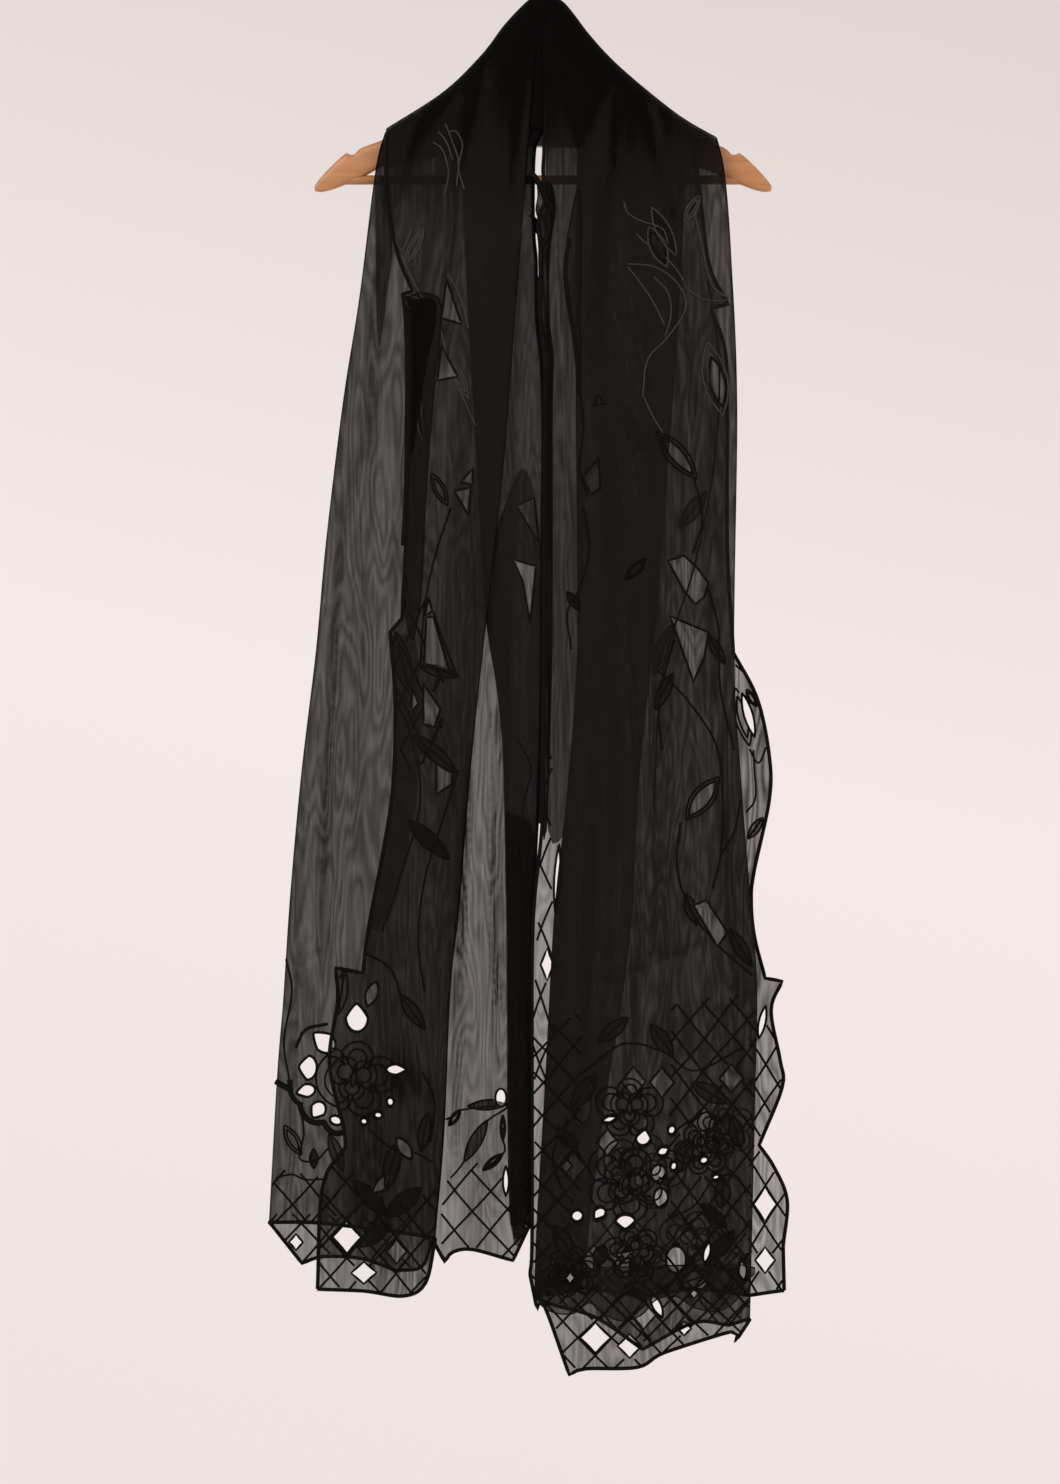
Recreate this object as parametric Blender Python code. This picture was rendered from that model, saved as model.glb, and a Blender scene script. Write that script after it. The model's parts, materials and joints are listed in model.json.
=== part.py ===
"""A dupatta of sheer black organza with corded cutwork borders, hung over a wooden hanger.

Metres, +Z up, +X to the right as seen from the front, the front faces -Y.
The origin is the point inside the top of the hook that bears on a rail.
Tables are in millimetres: x to the right, down below the origin.

Each tail of the cloth is folded to and fro into flat pleats that lie behind each other. The left
tail has, from front to back: left_front, left_under, left_back, left_pleat_a and left_pleat_b.
The right tail has right_front, right_under, right_pleat_a, right_pleat_b and right_back. All of
them turn over the hanger at the top and join the gathered stretch behind the neck, neck_back.
"""

import math

import bmesh
import bpy
import numpy as np
from mathutils import Vector
from mathutils.geometry import delaunay_2d_cdt

MM = 0.001

# Cloth
WALL = 1.0
SEAM_GAP = 0.3

# Hanger
BOW_THICK = 12.0
BOW_ROUND = 3.0
BAR_DOWN = 230.0
BAR_RADIUS = 4.7
BAR_REACH = 205.0
WIRE_RADIUS = 2.0
HOOK_INSIDE = 17.0
STEM_FOOT = 138.0
STEM_HOLE = 30.0
SOCKET = 40.0
NOTCH_X = 189.0
NOTCH_SIZE = 5.0

# The stack of pleats: depth of the innermost one, which rests against the bow, and the distance
# from one to the next, each growing from the peak to the arms between two heights
PEAK_DEPTH = 4.5
ARM_DEPTH = 0.5 * BOW_THICK + SEAM_GAP + 0.5 * WALL
DEPTH_GROWS = (58.0, 128.0)
PEAK_SPACING = 1.9
ARM_SPACING = 5.0
SPACING_GROWS = (60.0, 190.0)
OUTER_TURN = 20.0
INNER_TURN = 7.2
RIDGE_STEP = 2.1
PLEAT_TOP = 25.0

# Long soft flutes of both tails: depth, distance from one to the next, lean, phase
FLUTES = (
    (3.6, 176.0, 0.07, -0.25),
    (1.6, 118.0, -0.04, 1.9),
)
FLUTES_GROW = (280.0, 700.0)

# The gathered stretch behind the neck: height of its foot in the middle, how far the foot drops
# at a shoulder, and the sections of its three layers
NECK_FOOT = 194.0
NECK_DROP = 24.0
NECK_SHOULDER = 165.0
NECK_COLUMN = 21.0
NECK_TURN = (0.0, 1.5, 5.5, 12.0)
NECK_PARTS = (0.0, 0.4, 0.75, 1.0)
NECK_START = 18.0
NECK_FOLD = 12.0
NECK_BEND = 2.5
STEM_CLEAR = 3.4
STEM_BESIDE = 12.0

# Spacing of the points of a panel
ROW = 60.0
COLUMN = 40.0
LONGEST = 60.0
TOP_ZONE = 205.0
TOP_STEP = 13.0
TOP_COLUMNS = TOP_STEP * np.arange(-14, 15)
EDGE_CLEAR = 9.0
SIDE_CLEAR = 1.2
TURN_CLEAR = 1.25
EDGE_TOLERANCE = 0.6
ON_LINE = 1e-3
LEVEL_REACH = 320.0
TURN_PARTS = (0.07, 0.28, 0.6, 1.0)
FOLD_PARTS = (0.3, 1.15)

# Holes: those narrower than this have six corners, and the cloth left beside each
SMALL_HOLE = 20.0
HOLE_TO_EDGE = 2.5
HOLE_TO_HOLE = 1.5

# Top outline of the cloth, from the left shoulder over the peak to the right one: x, down
RIDGE = (
    (-162.0, 183.0),
    (-154.0, 177.0),
    (-100.0, 142.0),
    (-61.0, 104.0),
    (-39.0, 75.0),
    (-17.0, 52.0),
    (-4.5, 44.0),
    (4.5, 44.0),
    (18.0, 50.0),
    (28.0, 60.0),
    (47.0, 85.0),
    (72.0, 112.0),
    (104.0, 140.0),
    (140.0, 168.0),
    (178.0, 190.0),
)

# Long edges and fold lines: down, x, and True where the line comes to a tip
EDGES = {
    # fold between left_under and left_back, the left outline
    "left_outline": (
        (150, -152, False),
        (185, -158, False),
        (224, -167, False),
        (350, -183, False),
        (452, -199, False),
        (592, -216, False),
        (700, -226, False),
        (825, -241, False),
        (945, -252, False),
        (1050, -259, False),
        (1125, -265, False),
        (1270, -273, True),
    ),
    # free edge of left_front, with the ogee tips of its cutwork border
    "left_border": (
        (150, -156, False),
        (240, -156, False),
        (278, -151, False),
        (312, -143, False),
        (344, -130, True),
        (347, -139, True),
        (390, -134, False),
        (554, -135, False),
        (669, -140, True),
        (683, -152, True),
        (750, -147, False),
        (834, -149, False),
        (901, -159, False),
        (975, -173, False),
        (1021, -179, True),
        (1016, -206, True),
        (1050, -204, False),
        (1110, -212, False),
        (1175, -198, False),
        (1193, -196, True),
        (1234, -219, False),
        (1335, -224, True),
    ),
    # fold between left_front and left_under
    "left_turn": (
        (40, -4.5, False),
        (75, -4.5, False),
        (195, -14, False),
        (321, -24, False),
        (438, -33, False),
        (535, -41, False),
        (660, -55, False),
        (810, -71, False),
        (955, -83, False),
        (1040, -92, False),
        (1179, -98, False),
        (1286, -107, True),
    ),
    # fold between left_pleat_a and left_pleat_b
    "left_pleat": (
        (100, -84, False),
        (195, -82, False),
        (360, -75, False),
        (535, -65, False),
        (660, -58, False),
        (740, -46, False),
        (810, -40, False),
        (973, -36, False),
        (1272, -32, True),
    ),
    # fold between left_back and left_pleat_a, also the free edge of left_pleat_b
    "left_inner": (
        (40, -4.5, False),
        (74, -4.5, False),
        (96, 2, False),
        (178, 2, False),
        (197, -8, False),
        (250, -10, False),
        (290, -9, False),
        (312, -7, False),
        (372, -6, False),
        (460, 0, False),
        (750, -2, False),
        (850, -5, False),
        (964, -10, False),
        (1129, -12.5, False),
        (1272, -13, True),
    ),
    # free edge of right_front, a corded and scalloped border
    "right_border": (
        (40, 4.5, False),
        (74, 4.5, False),
        (96, 0, False),
        (197, 1, False),
        (226, 0, False),
        (252, 3, True),
        (276, -5, False),
        (302, -3, False),
        (372, -2, False),
        (410, 4, True),
        (470, 2.5, False),
        (650, 2, False),
        (777, 1, False),
        (873, -1, False),
        (973, -10, False),
        (1120, -11, False),
        (1286, -11, False),
        (1321, -13, True),
    ),
    # folds between right_under and right_pleat_a, and right_pleat_b and right_back
    "right_inner": (
        (40, 10, False),
        (120, 10, False),
        (182, 10, True),
        (195, 34, True),
        (340, 32, False),
        (650, 34, False),
        (740, 32, False),
        (850, 23, False),
        (964, 11, False),
        (1129, 2, False),
        (1263, -6, False),
        (1344, -9, True),
    ),
    # fold between right_pleat_a and right_pleat_b
    "right_pleat": (
        (160, 146, False),
        (195, 144, False),
        (350, 136, False),
        (486, 127, False),
        (656, 114, False),
        (839, 95, False),
        (964, 89, False),
        (1062, 77, False),
        (1152, 62, False),
        (1338, 38, True),
    ),
    # fold between right_front and right_under, the right outline
    "right_outline": (
        (150, 170, False),
        (187, 173, False),
        (229, 181, False),
        (307, 187, False),
        (457, 193, False),
        (703, 190, False),
        (831, 197, False),
        (955, 207, False),
        (1036, 213, False),
        (1152, 211, False),
        (1366, 206, True),
    ),
    # free edge of right_back, which shows as a flap past the right outline
    "right_border_back": (
        (150, 150, False),
        (200, 152, False),
        (236, 156, False),
        (315, 166, False),
        (355, 185, True),
        (359, 168, True),
        (403, 182, False),
        (470, 184, False),
        (600, 184, False),
        (703, 190, True),
        (749, 214, False),
        (806, 226, False),
        (850, 226, False),
        (920, 211, False),
        (949, 208, False),
        (985, 211, False),
        (1028, 222, True),
        (1031, 239, True),
        (1060, 228, False),
        (1110, 237, False),
        (1137, 239, False),
        (1195, 216, True),
        (1217, 231, False),
        (1250, 244, False),
        (1296, 240, True),
        (1340, 241, True),
    ),
}

# Hems from left to right, between their corners on the edges: x, down, tip
HEMS = {
    "left_front": ((-179, 1337, False), (-139, 1343, False), (-117, 1330, False)),
    "left_under": ((-222, 1270, False), (-165, 1277, False)),
    "left_back": (
        (-240, 1311, True),
        (-219, 1304, False),
        (-181, 1306, False),
        (-146, 1319, True),
        (-121, 1315, False),
        (-110, 1288, True),
        (-98, 1310, True),
        (-90, 1300, False),
        (-70, 1297, False),
        (-30, 1308, True),
    ),
    "left_pleat_a": (),
    "left_pleat_b": (),
    "right_front": (
        (-6, 1356, True),
        (1, 1352, False),
        (26, 1421, True),
        (42, 1415, False),
        (94, 1413, False),
        (121, 1398, False),
        (187, 1378, False),
        (191, 1388, True),
    ),
    "right_under": (
        (10, 1352, False),
        (53, 1365, False),
        (99, 1396, True),
        (150, 1369, False),
        (185, 1372, True),
    ),
    "right_pleat_a": (),
    "right_pleat_b": (),
    "right_back": (
        (40, 1338, False),
        (100, 1346, True),
        (150, 1338, False),
        (207, 1345, True),
    ),
}

# Panels. order counts pleats outward from the hanger; ridge counts those under the outer one
# where they turn over the top, or is None for a pleat that ends below the turn.
PANELS = (
    # name, order, ridge, left edge, its fold joins, right edge, its fold joins
    ("left_front", 4, 0, "left_border", None, "left_turn", 3),
    ("left_under", 3, 1, "left_outline", 2, "left_turn", 4),
    ("left_back", 2, 2, "left_outline", 3, "left_inner", 1),
    ("left_pleat_a", 1, None, "left_pleat", 0, "left_inner", 2),
    ("left_pleat_b", 0, None, "left_pleat", 1, "left_inner", None),
    ("right_front", 4, 0, "right_border", None, "right_outline", 3),
    ("right_under", 3, 1, "right_inner", 2, "right_outline", 4),
    ("right_pleat_a", 2, None, "right_inner", 3, "right_pleat", 1),
    ("right_pleat_b", 1, None, "right_inner", 0, "right_pleat", 2),
    ("right_back", 0, 2, "right_inner", 1, "right_border_back", None),
)

# Cutwork. Holes that go through every pleat at their place: shape, x, down, wide, tall, turn
THROUGH = (
    ("drop", -185, 1066, 22, 28, 0),
    ("drop", -218, 1090, 20, 26, -50),
    ("drop", -234, 1116, 24, 18, -84),
    ("drop", -236, 1139, 13, 19, -105),
    ("drop", -224, 1158, 15, 18, -145),
    ("round", -206, 1168, 12, 9, 20),
    ("drop", -146, 1118, 11, 20, 90),
    ("round", -178, 1169, 7, 7, 0),
    ("round", -164, 1163, 8, 7, 0),
    ("round", -152, 1150, 7, 9, 0),
    ("diamond", -195, 1284, 29, 33, 0),
    ("drop", 100, 1186, 15, 17, 10),
    ("drop", 120, 1199, 10, 13, 60),
    ("round", 130, 1214, 7, 10, 0),
    ("drop", 82, 1270, 20, 16, 180),
    ("drop", 56, 1262, 12, 15, 215),
    ("round", 34, 1264, 12, 13, 0),
    ("round", 128, 1178, 8, 10, 0),
    ("round", 160, 1208, 9, 9, 0),
    ("round", 172, 1225, 8, 7, 0),
    ("lens", 163, 1300, 8, 24, 10),
    ("lens", 199, 1319, 9, 22, -10),
    ("diamond", 140, 1374, 14, 14, 0),
    ("lens", 66, 1168, 16, 8, -15),
    ("lens", 113, 1352, 9, 26, -25),
    ("diamond", 27, 1326, 12, 14, 0),
)

# Holes in one pleat only: panel, shape, x, down, wide, tall, turn
SINGLE = (
    ("left_front", "diamond", -178, 1319, 25, 22, 0),
    ("left_front", "lens", -170, 1042, 12, 26, 20),
    ("left_front", "lens", -158, 1230, 12, 30, 50),
    ("left_front", "lens", -138, 1196, 12, 26, -35),
    ("left_under", "lens", -222, 1128, 15, 40, 18),
    ("left_back", "diamond", -70, 1278, 32, 37, 0),
    ("left_back", "round", -42, 1146, 11, 18, 0),
    ("left_back", "lens", -37, 1229, 6, 30, 0),
    ("left_back", "diamond", -246, 1290, 14, 16, 0),
    ("left_back", "diamond", -146, 1300, 20, 24, 0),
    ("right_front", "diamond", 4, 1013, 13, 32, 0),
    ("right_front", "lens", 14, 928, 6, 70, 3),
    ("right_front", "diamond", -5, 1112, 9, 35, 0),
    ("right_front", "round", 115, 1221, 15, 18, 0),
    ("right_front", "round", 117, 1245, 14, 20, 0),
    ("right_front", "round", 132, 1306, 20, 27, 0),
    ("right_front", "diamond", 64, 1190, 22, 26, 0),
    ("right_front", "diamond", 160, 1170, 24, 30, 0),
    ("right_front", "diamond", 118, 1130, 24, 30, 0),
    ("right_front", "lens", 158, 848, 15, 44, 38),
    ("right_front", "lens", 173, 434, 15, 50, -12),
    ("right_front", "lens", 133, 507, 12, 50, -40),
    ("right_front", "lens", 114, 300, 10, 34, -24),
    ("right_front", "diamond", 52, 1384, 30, 30, 0),
    ("right_front", "diamond", 86, 1392, 24, 24, 0),
    ("right_front", "diamond", 187, 1126, 24, 28, 0),
    ("right_front", "diamond", 30, 1214, 26, 30, 0),
    ("right_under", "lens", 40, 1160, 14, 34, 20),
    ("right_under", "round", 115, 1221, 15, 18, 0),
    ("right_under", "round", 117, 1245, 14, 20, 0),
    ("right_under", "round", 132, 1306, 20, 27, 0),
    ("right_under", "diamond", 50, 1306, 24, 28, 0),
    ("right_under", "diamond", 90, 1130, 24, 30, 0),
    ("right_pleat_a", "diamond", 19, 1214, 20, 26, 0),
    ("right_pleat_b", "round", 66, 1224, 18, 20, 0),
    ("right_under", "diamond", 150, 1330, 26, 30, 0),
    ("right_under", "diamond", 100, 1362, 24, 28, 0),
    ("right_back", "diamond", 222, 1254, 23, 34, 0),
    ("right_back", "lens", 219, 1072, 7, 34, 12),
    ("right_back", "diamond", 222, 1310, 20, 26, 0),
    ("right_back", "lens", 205, 765, 9, 46, -16),
    ("right_back", "diamond", 226, 1196, 10, 14, 0),
)

# Angular cut-outs of the borders: panel, then their corners as x, down
PATCHES = (
    ("left_front", ((-96, 332), (-81, 377), (-101, 371))),
    ("left_front", ((-101, 398), (-85, 429), (-105, 433))),
    ("left_front", ((-70, 520), (-70, 536), (-82, 534))),
    ("left_front", ((-88, 543), (-72, 539), (-74, 567))),
    ("left_front", ((-114, 648), (-110, 662), (-117, 666))),
    ("left_front", ((-116, 668), (-109, 668), (-93, 722), (-118, 714))),
    ("left_front", ((-119, 734), (-102, 759), (-108, 777), (-119, 774))),
    ("left_front", ((-106, 814), (-90, 823), (-91, 834), (-106, 844))),
    ("left_front", ((-130, 737), (-124, 754), (-131, 762))),
    ("left_back", ((-27, 557), (-9, 549), (-4, 594))),
    ("left_back", ((-30, 610), (-7, 617), (-13, 674), (-20, 633))),
    (
        "right_front",
        ((124, 612), (140, 607), (153, 619), (164, 634), (160, 648), (151, 655), (140, 642)),
    ),
    ("right_front", ((126, 667), (164, 683), (160, 708), (149, 732), (132, 683))),
    ("right_front", ((149, 954), (162, 949), (183, 981), (173, 995))),
    ("right_front", ((55, 447), (60, 456), (50, 458))),
    ("right_front", ((55, 510), (57, 540), (48, 546), (39, 529))),
    ("right_back", ((66, 1304), (90, 1300), (84, 1330))),
)

# Hanger bow, one arm from the middle to the tip: x, top down, bottom down
BOW = (
    (0, 129, 179),
    (30, 131, 179),
    (60, 140, 183),
    (95, 154, 191),
    (130, 173, 203),
    (156, 188, 214),
    (176, 196, 225),
    (196, 203, 234),
    (212, 217, 240),
    (223, 229, 242),
    (228, 236, 241),
)

MATERIALS = {
    # name: colour, roughness, metallic
    "organza": ((0.012, 0.010, 0.009, 1.0), 0.7, 0.0),
    "wood": ((0.62, 0.36, 0.18, 1.0), 0.45, 0.0),
    "wire": ((0.75, 0.75, 0.76, 1.0), 0.25, 1.0),
}


def soft_step(value):
    """0 to 1 with level ends."""
    t = np.clip(value, 0.0, 1.0)
    return t * t * (3.0 - 2.0 * t)


def smooth_line(points, step):
    """Points along a smooth line through the given ones, about a step apart."""
    p = np.asarray(points, float)
    if len(p) == 2:
        count = max(1, round(float(np.hypot(*(p[1] - p[0]))) / step))
        return p[0] + (p[1] - p[0]) * np.linspace(0, 1, count + 1)[:, None]
    tangent = np.gradient(p, axis=0)
    line = [p[0]]
    for i in range(len(p) - 1):
        a, b, ta, tb = p[i], p[i + 1], tangent[i], tangent[i + 1]
        count = max(1, round(float(np.hypot(*(b - a))) / step))
        for t in np.linspace(0, 1, count + 1)[1:]:
            t2, t3 = t * t, t * t * t
            line.append(
                (2 * t3 - 3 * t2 + 1) * a
                + (t3 - 2 * t2 + t) * ta
                + (3 * t2 - 2 * t3) * b
                + (t3 - t2) * tb
            )
    return np.array(line)


def tipped_line(rows, step):
    """A line through rows of two numbers and a tip flag, smooth between its tips."""
    run, parts = [rows[0][:2]], []
    for row in rows[1:]:
        run.append(row[:2])
        if row[2]:
            parts.append(smooth_line(run, step))
            run = [row[:2]]
    if len(run) > 1:
        parts.append(smooth_line(run, step))
    return np.vstack([parts[0], *(part[1:] for part in parts[1:])])


def line_distance(points, line):
    """Distance from points to an open line, both in the front view."""
    best = np.full(len(points), 1e9)
    for a, b in zip(line[:-1], line[1:]):
        along = b - a
        t = np.clip(((points - a) @ along) / max(float(along @ along), 1e-9), 0, 1)
        best = np.minimum(best, np.hypot(*(points - a - t[:, None] * along).T))
    return best


def loop_distance(points, loop):
    """Distance from points to a closed loop."""
    return line_distance(points, np.vstack([loop, loop[:1]]))


def thinned(line, tolerance, longest):
    """The fewest points of a line that keep its shape, none further apart than longest."""
    far = line_distance(line, line[[0, -1]])
    worst = int(far.argmax())
    if far[worst] <= tolerance:
        if len(line) == 2 or np.hypot(*(line[-1] - line[0])) <= longest:
            return line[[0, -1]]
        worst = len(line) // 2
    before = thinned(line[: worst + 1], tolerance, longest)
    return np.vstack([before[:-1], thinned(line[worst:], tolerance, longest)])


RIDGE_X, RIDGE_DOWN = smooth_line(RIDGE, 3.0).T
RIDGE_SLOPE = np.gradient(RIDGE_DOWN, RIDGE_X)
EDGE_LINES = {
    name: thinned(tipped_line(rows, 8.0)[:, ::-1], EDGE_TOLERANCE, LONGEST)
    for name, rows in EDGES.items()
}


def ridge_down(x, inward=0.0):
    """Height of the cloth's top outline at x, or of a line that far inside it."""
    lean = np.sqrt(1.0 + np.interp(x, RIDGE_X, RIDGE_SLOPE) ** 2)
    return np.interp(x, RIDGE_X, RIDGE_DOWN) + inward * lean


def edge_x(name, down):
    """Where an edge lies across, at a height."""
    line = EDGE_LINES[name]
    order = np.argsort(line[:, 1], kind="stable")
    return np.interp(down, line[order, 1], line[order, 0])


def top_corner(name, inward):
    """Where an edge crosses a line that far inside the top outline."""
    down = 150.0
    for _ in range(80):
        down = 0.5 * down + 0.5 * float(ridge_down(edge_x(name, down), inward))
    return np.array([float(edge_x(name, down)), down])


def panel_side(edge, ridge, order):
    """One side of a panel from its top corner down, close where it turns over the top."""
    inward = PLEAT_TOP if ridge is None else ridge * RIDGE_STEP
    turn = (0.0,) if ridge is None else (0.0, *TURN_PARTS)
    high = [top_corner(edge, inward + part * turn_height(order)) for part in turn]
    line = EDGE_LINES[edge]
    first = int(np.argmax(line[:, 1] > high[0][1] + TOP_STEP / 4))
    below = [p for p in line[first:] if min(np.hypot(*(p - h)) for h in high) > TOP_STEP / 4]
    joint = [p for p in below if p[1] < high[-1][1]]
    upper = sorted([*high, *joint], key=lambda p: p[1])
    return np.array([*upper, *below[len(joint) :]])


def panel_top(panel):
    """The line along which a panel turns over the top, or at which a pleat ends."""
    _, order, ridge, left, _, right, _ = panel
    inward = PLEAT_TOP if ridge is None else ridge * RIDGE_STEP
    start, end = top_corner(left, inward), top_corner(right, inward)
    across = TOP_STEP * np.arange(-14, 15)
    across = across[(across > start[0] + 3) & (across < end[0] - 3)]
    middle = np.column_stack([across, ridge_down(across, inward)])
    return np.vstack([start, middle, end])


def outline(panel):
    """A panel's closed outline in the front view, as x and down."""
    name, order, ridge, left, _, right, _ = panel
    left_side = panel_side(left, ridge, order)
    right_side = panel_side(right, ridge, order)
    hem_rows = [(*left_side[-1], True), *HEMS[name], (*right_side[-1], True)]
    hem = thinned(tipped_line(hem_rows, 6.0), EDGE_TOLERANCE, LONGEST)[1:-1]
    top = panel_top(panel)[1:-1]
    return np.vstack([left_side, hem, right_side[::-1], top[::-1]])


def hole_loop(shape, x, down, wide, tall, turn):
    """Corners of a hole: a diamond, a lens with two tips, a drop with one, or a round one."""
    loop = []
    points = 4 if shape == "diamond" else 6 if max(wide, tall) < SMALL_HOLE else 8
    for k in range(points):
        a = 2 * math.pi * k / points
        u, v = math.sin(a), math.cos(a)
        if shape == "lens":
            u = u * abs(u)
        if shape == "drop" and v > 0:
            u = u * (1.0 - 0.55 * v)
        loop.append((0.5 * wide * u, 0.5 * tall * v))
    c, s = math.cos(math.radians(turn)), math.sin(math.radians(turn))
    return np.array([(x + u * c + v * s, down - (v * c - u * s)) for u, v in loop])


def inside(points, loop):
    """Which points lie in a loop, both in the front view."""
    points = np.atleast_2d(points)
    found = np.zeros(len(points), bool)
    for (ax, az), (bx, bz) in zip(loop, np.roll(loop, -1, 0)):
        spans = (az > points[:, 1]) != (bz > points[:, 1])
        if spans.any():
            crossing = ax + (points[:, 1] - az) * (bx - ax) / ((bz - az) or 1e-9)
            found ^= spans & (points[:, 0] < crossing)
    return found


def panel_holes(panel, border):
    """The holes that fit whole inside a panel's outline."""
    name = panel[0]
    loops = [hole_loop(*row) for row in THROUGH]
    loops += [hole_loop(*row[1:]) for row in SINGLE if row[0] == name]
    loops += [np.array(row[1], float) for row in PATCHES if row[0] == name]
    kept = []
    for loop in loops:
        whole = inside(loop, border).all() and loop_distance(loop, border).min() > HOLE_TO_EDGE
        apart = all(
            loop_distance(loop, other).min() > HOLE_TO_HOLE and not inside(loop, other).any()
            for other in kept
        )
        if whole and apart:
            kept.append(loop)
    return kept


def between(down, heights):
    """0 above the first height, 1 below the second, and soft between them."""
    return soft_step((down - heights[0]) / (heights[1] - heights[0]))


def wave(x, down):
    """The long soft flutes that both tails share, deeper towards the hem."""
    rise = sum(
        deep * np.sin(2 * math.pi * (x + lean * down) / apart + phase)
        for deep, apart, lean, phase in FLUTES
    )
    return between(down, FLUTES_GROW) * rise


def stack_spacing(down):
    """Distance from one pleat to the next."""
    return PEAK_SPACING + (ARM_SPACING - PEAK_SPACING) * between(down, SPACING_GROWS)


def stack_depth(order, down):
    """Distance in front of the hanger's middle plane of the pleat of that order."""
    base = PEAK_DEPTH + (ARM_DEPTH - PEAK_DEPTH) * between(down, DEPTH_GROWS)
    return base + order * stack_spacing(down)


def turn_height(order):
    """How far below the top outline a pleat has finished its turn over the top."""
    return INNER_TURN if order < 2 else OUTER_TURN


def fold_turn(away, radius):
    """How far a quarter turn has gone at a distance from the fold line."""
    u = np.clip(away / radius, 0.0, 1.0)
    return 1.0 - np.sqrt(np.clip(1.0 - (1.0 - u) ** 2, 0.0, 1.0))


def panel_depth(panel, points):
    """y of a panel's middle surface at points of the front view, and which lie on a flat rim."""
    _, order, ridge, left, left_joins, right, right_joins = panel
    x, down = points.T
    depth = stack_depth(order, down) + wave(x, down)
    radius = 0.5 * stack_spacing(down)
    rim = np.zeros(len(x), bool)
    for edge, joins in ((left, left_joins), (right, right_joins)):
        if joins is not None:
            away = np.abs(x - edge_x(edge, down))
            side = 1.0 if joins > order else -1.0
            depth += side * (radius - 0.5 * SEAM_GAP) * fold_turn(away, radius)
            rim |= away < ON_LINE
    if ridge is None:
        return -depth, rim
    near = line_distance(points, panel_top(panel))
    turned = 1.0 - np.clip(near / turn_height(order), 0.0, 1.0)
    turn = np.sqrt(1.0 - turned**2)
    return -(0.5 * SEAM_GAP + (depth - 0.5 * SEAM_GAP) * turn), rim | (near < ON_LINE)


def grid_points(panel, border):
    """A grid that all panels share, closer near the top, clear of the outline and the turn."""
    order, ridge = panel[1:3]
    grid = [(x, d) for d in np.arange(TOP_ZONE, 1440, ROW) for x in np.arange(-280, 281, COLUMN)]
    grid += [(x, d) for d in np.arange(50, TOP_ZONE, TOP_STEP) for x in TOP_COLUMNS]
    grid = np.array(grid)
    keep = loop_distance(grid, border) > EDGE_CLEAR
    if ridge is not None:
        keep &= line_distance(grid, panel_top(panel)) > TURN_CLEAR * turn_height(order)
    return grid[keep]


def turn_points(panel):
    """Points along the lines of a panel's turn over the top."""
    _, order, ridge, left, _, right, _ = panel
    if ridge is None:
        return np.empty((0, 2))
    inward = [ridge * RIDGE_STEP + part * turn_height(order) for part in TURN_PARTS]
    points = np.vstack([np.column_stack([TOP_COLUMNS, ridge_down(TOP_COLUMNS, i)]) for i in inward])
    for side in (left, right):
        points = points[np.abs(points[:, 0] - edge_x(side, points[:, 1])) > SIDE_CLEAR]
    return points


def fold_points(panel):
    """Points beside a panel's folds, which round them off."""
    _, order, ridge, left, left_joins, right, right_joins = panel
    points = []
    for edge, joins, way in ((left, left_joins, 1), (right, right_joins, -1)):
        if joins is not None:
            for x, down in panel_side(edge, ridge, order):
                radius = 0.5 * float(stack_spacing(down))
                points += [(x + way * radius * part, down) for part in FOLD_PARTS]
    return np.array(points).reshape(-1, 2)


def inner_points(panel, border, holes):
    """All points inside a panel's outline."""
    groups = (
        (grid_points(panel, border), EDGE_CLEAR - 2.0),
        (turn_points(panel), 1.0),
        (fold_points(panel), 0.8),
    )
    kept = []
    for points, hole_clear in groups:
        keep = inside(points, border)
        for loop in holes:
            keep &= ~inside(points, loop) & (loop_distance(points, loop) > hole_clear)
        kept.append(points[keep])
    return np.vstack(kept)


def levelled(x, down):
    """Height in a view that levels and widens the zone of the turn, to join its points well."""
    below = np.maximum(down - ridge_down(x), 0.0)
    level = 1.0 - soft_step((down - TOP_ZONE) / LEVEL_REACH)
    widened = OUTER_TURN * (1.0 - np.exp(-below / INNER_TURN))
    return down - level * (ridge_down(x) - TOP_ZONE) + widened


def sheet(panel):
    """A panel's middle surface with its holes: points, triangles and which points are on a rim."""
    border = outline(panel)
    holes = panel_holes(panel, border)
    points, edges = [], []
    for loop in (border, *holes):
        start = len(points)
        points += list(loop)
        edges += [(start + i, start + (i + 1) % len(loop)) for i in range(len(loop))]
    flat = np.vstack([points, inner_points(panel, border, holes)])
    level = levelled(flat[:, 0], flat[:, 1])
    corners = [Vector((x, -down)) for x, down in zip(flat[:, 0], level)]
    found, _, faces, origin, *_ = delaunay_2d_cdt(corners, edges, [], 1, 1e-4)
    flat = np.array([flat[source[0]] for source in origin])
    tris = np.array([f for f in faces if len(f) == 3])
    middle = flat[tris].mean(1)
    keep = inside(middle, border)
    for loop in holes:
        keep &= ~inside(middle, loop)
    y, rim = panel_depth(panel, flat)
    return np.column_stack([flat[:, 0], y, -flat[:, 1]]), tris[keep], rim


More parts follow.
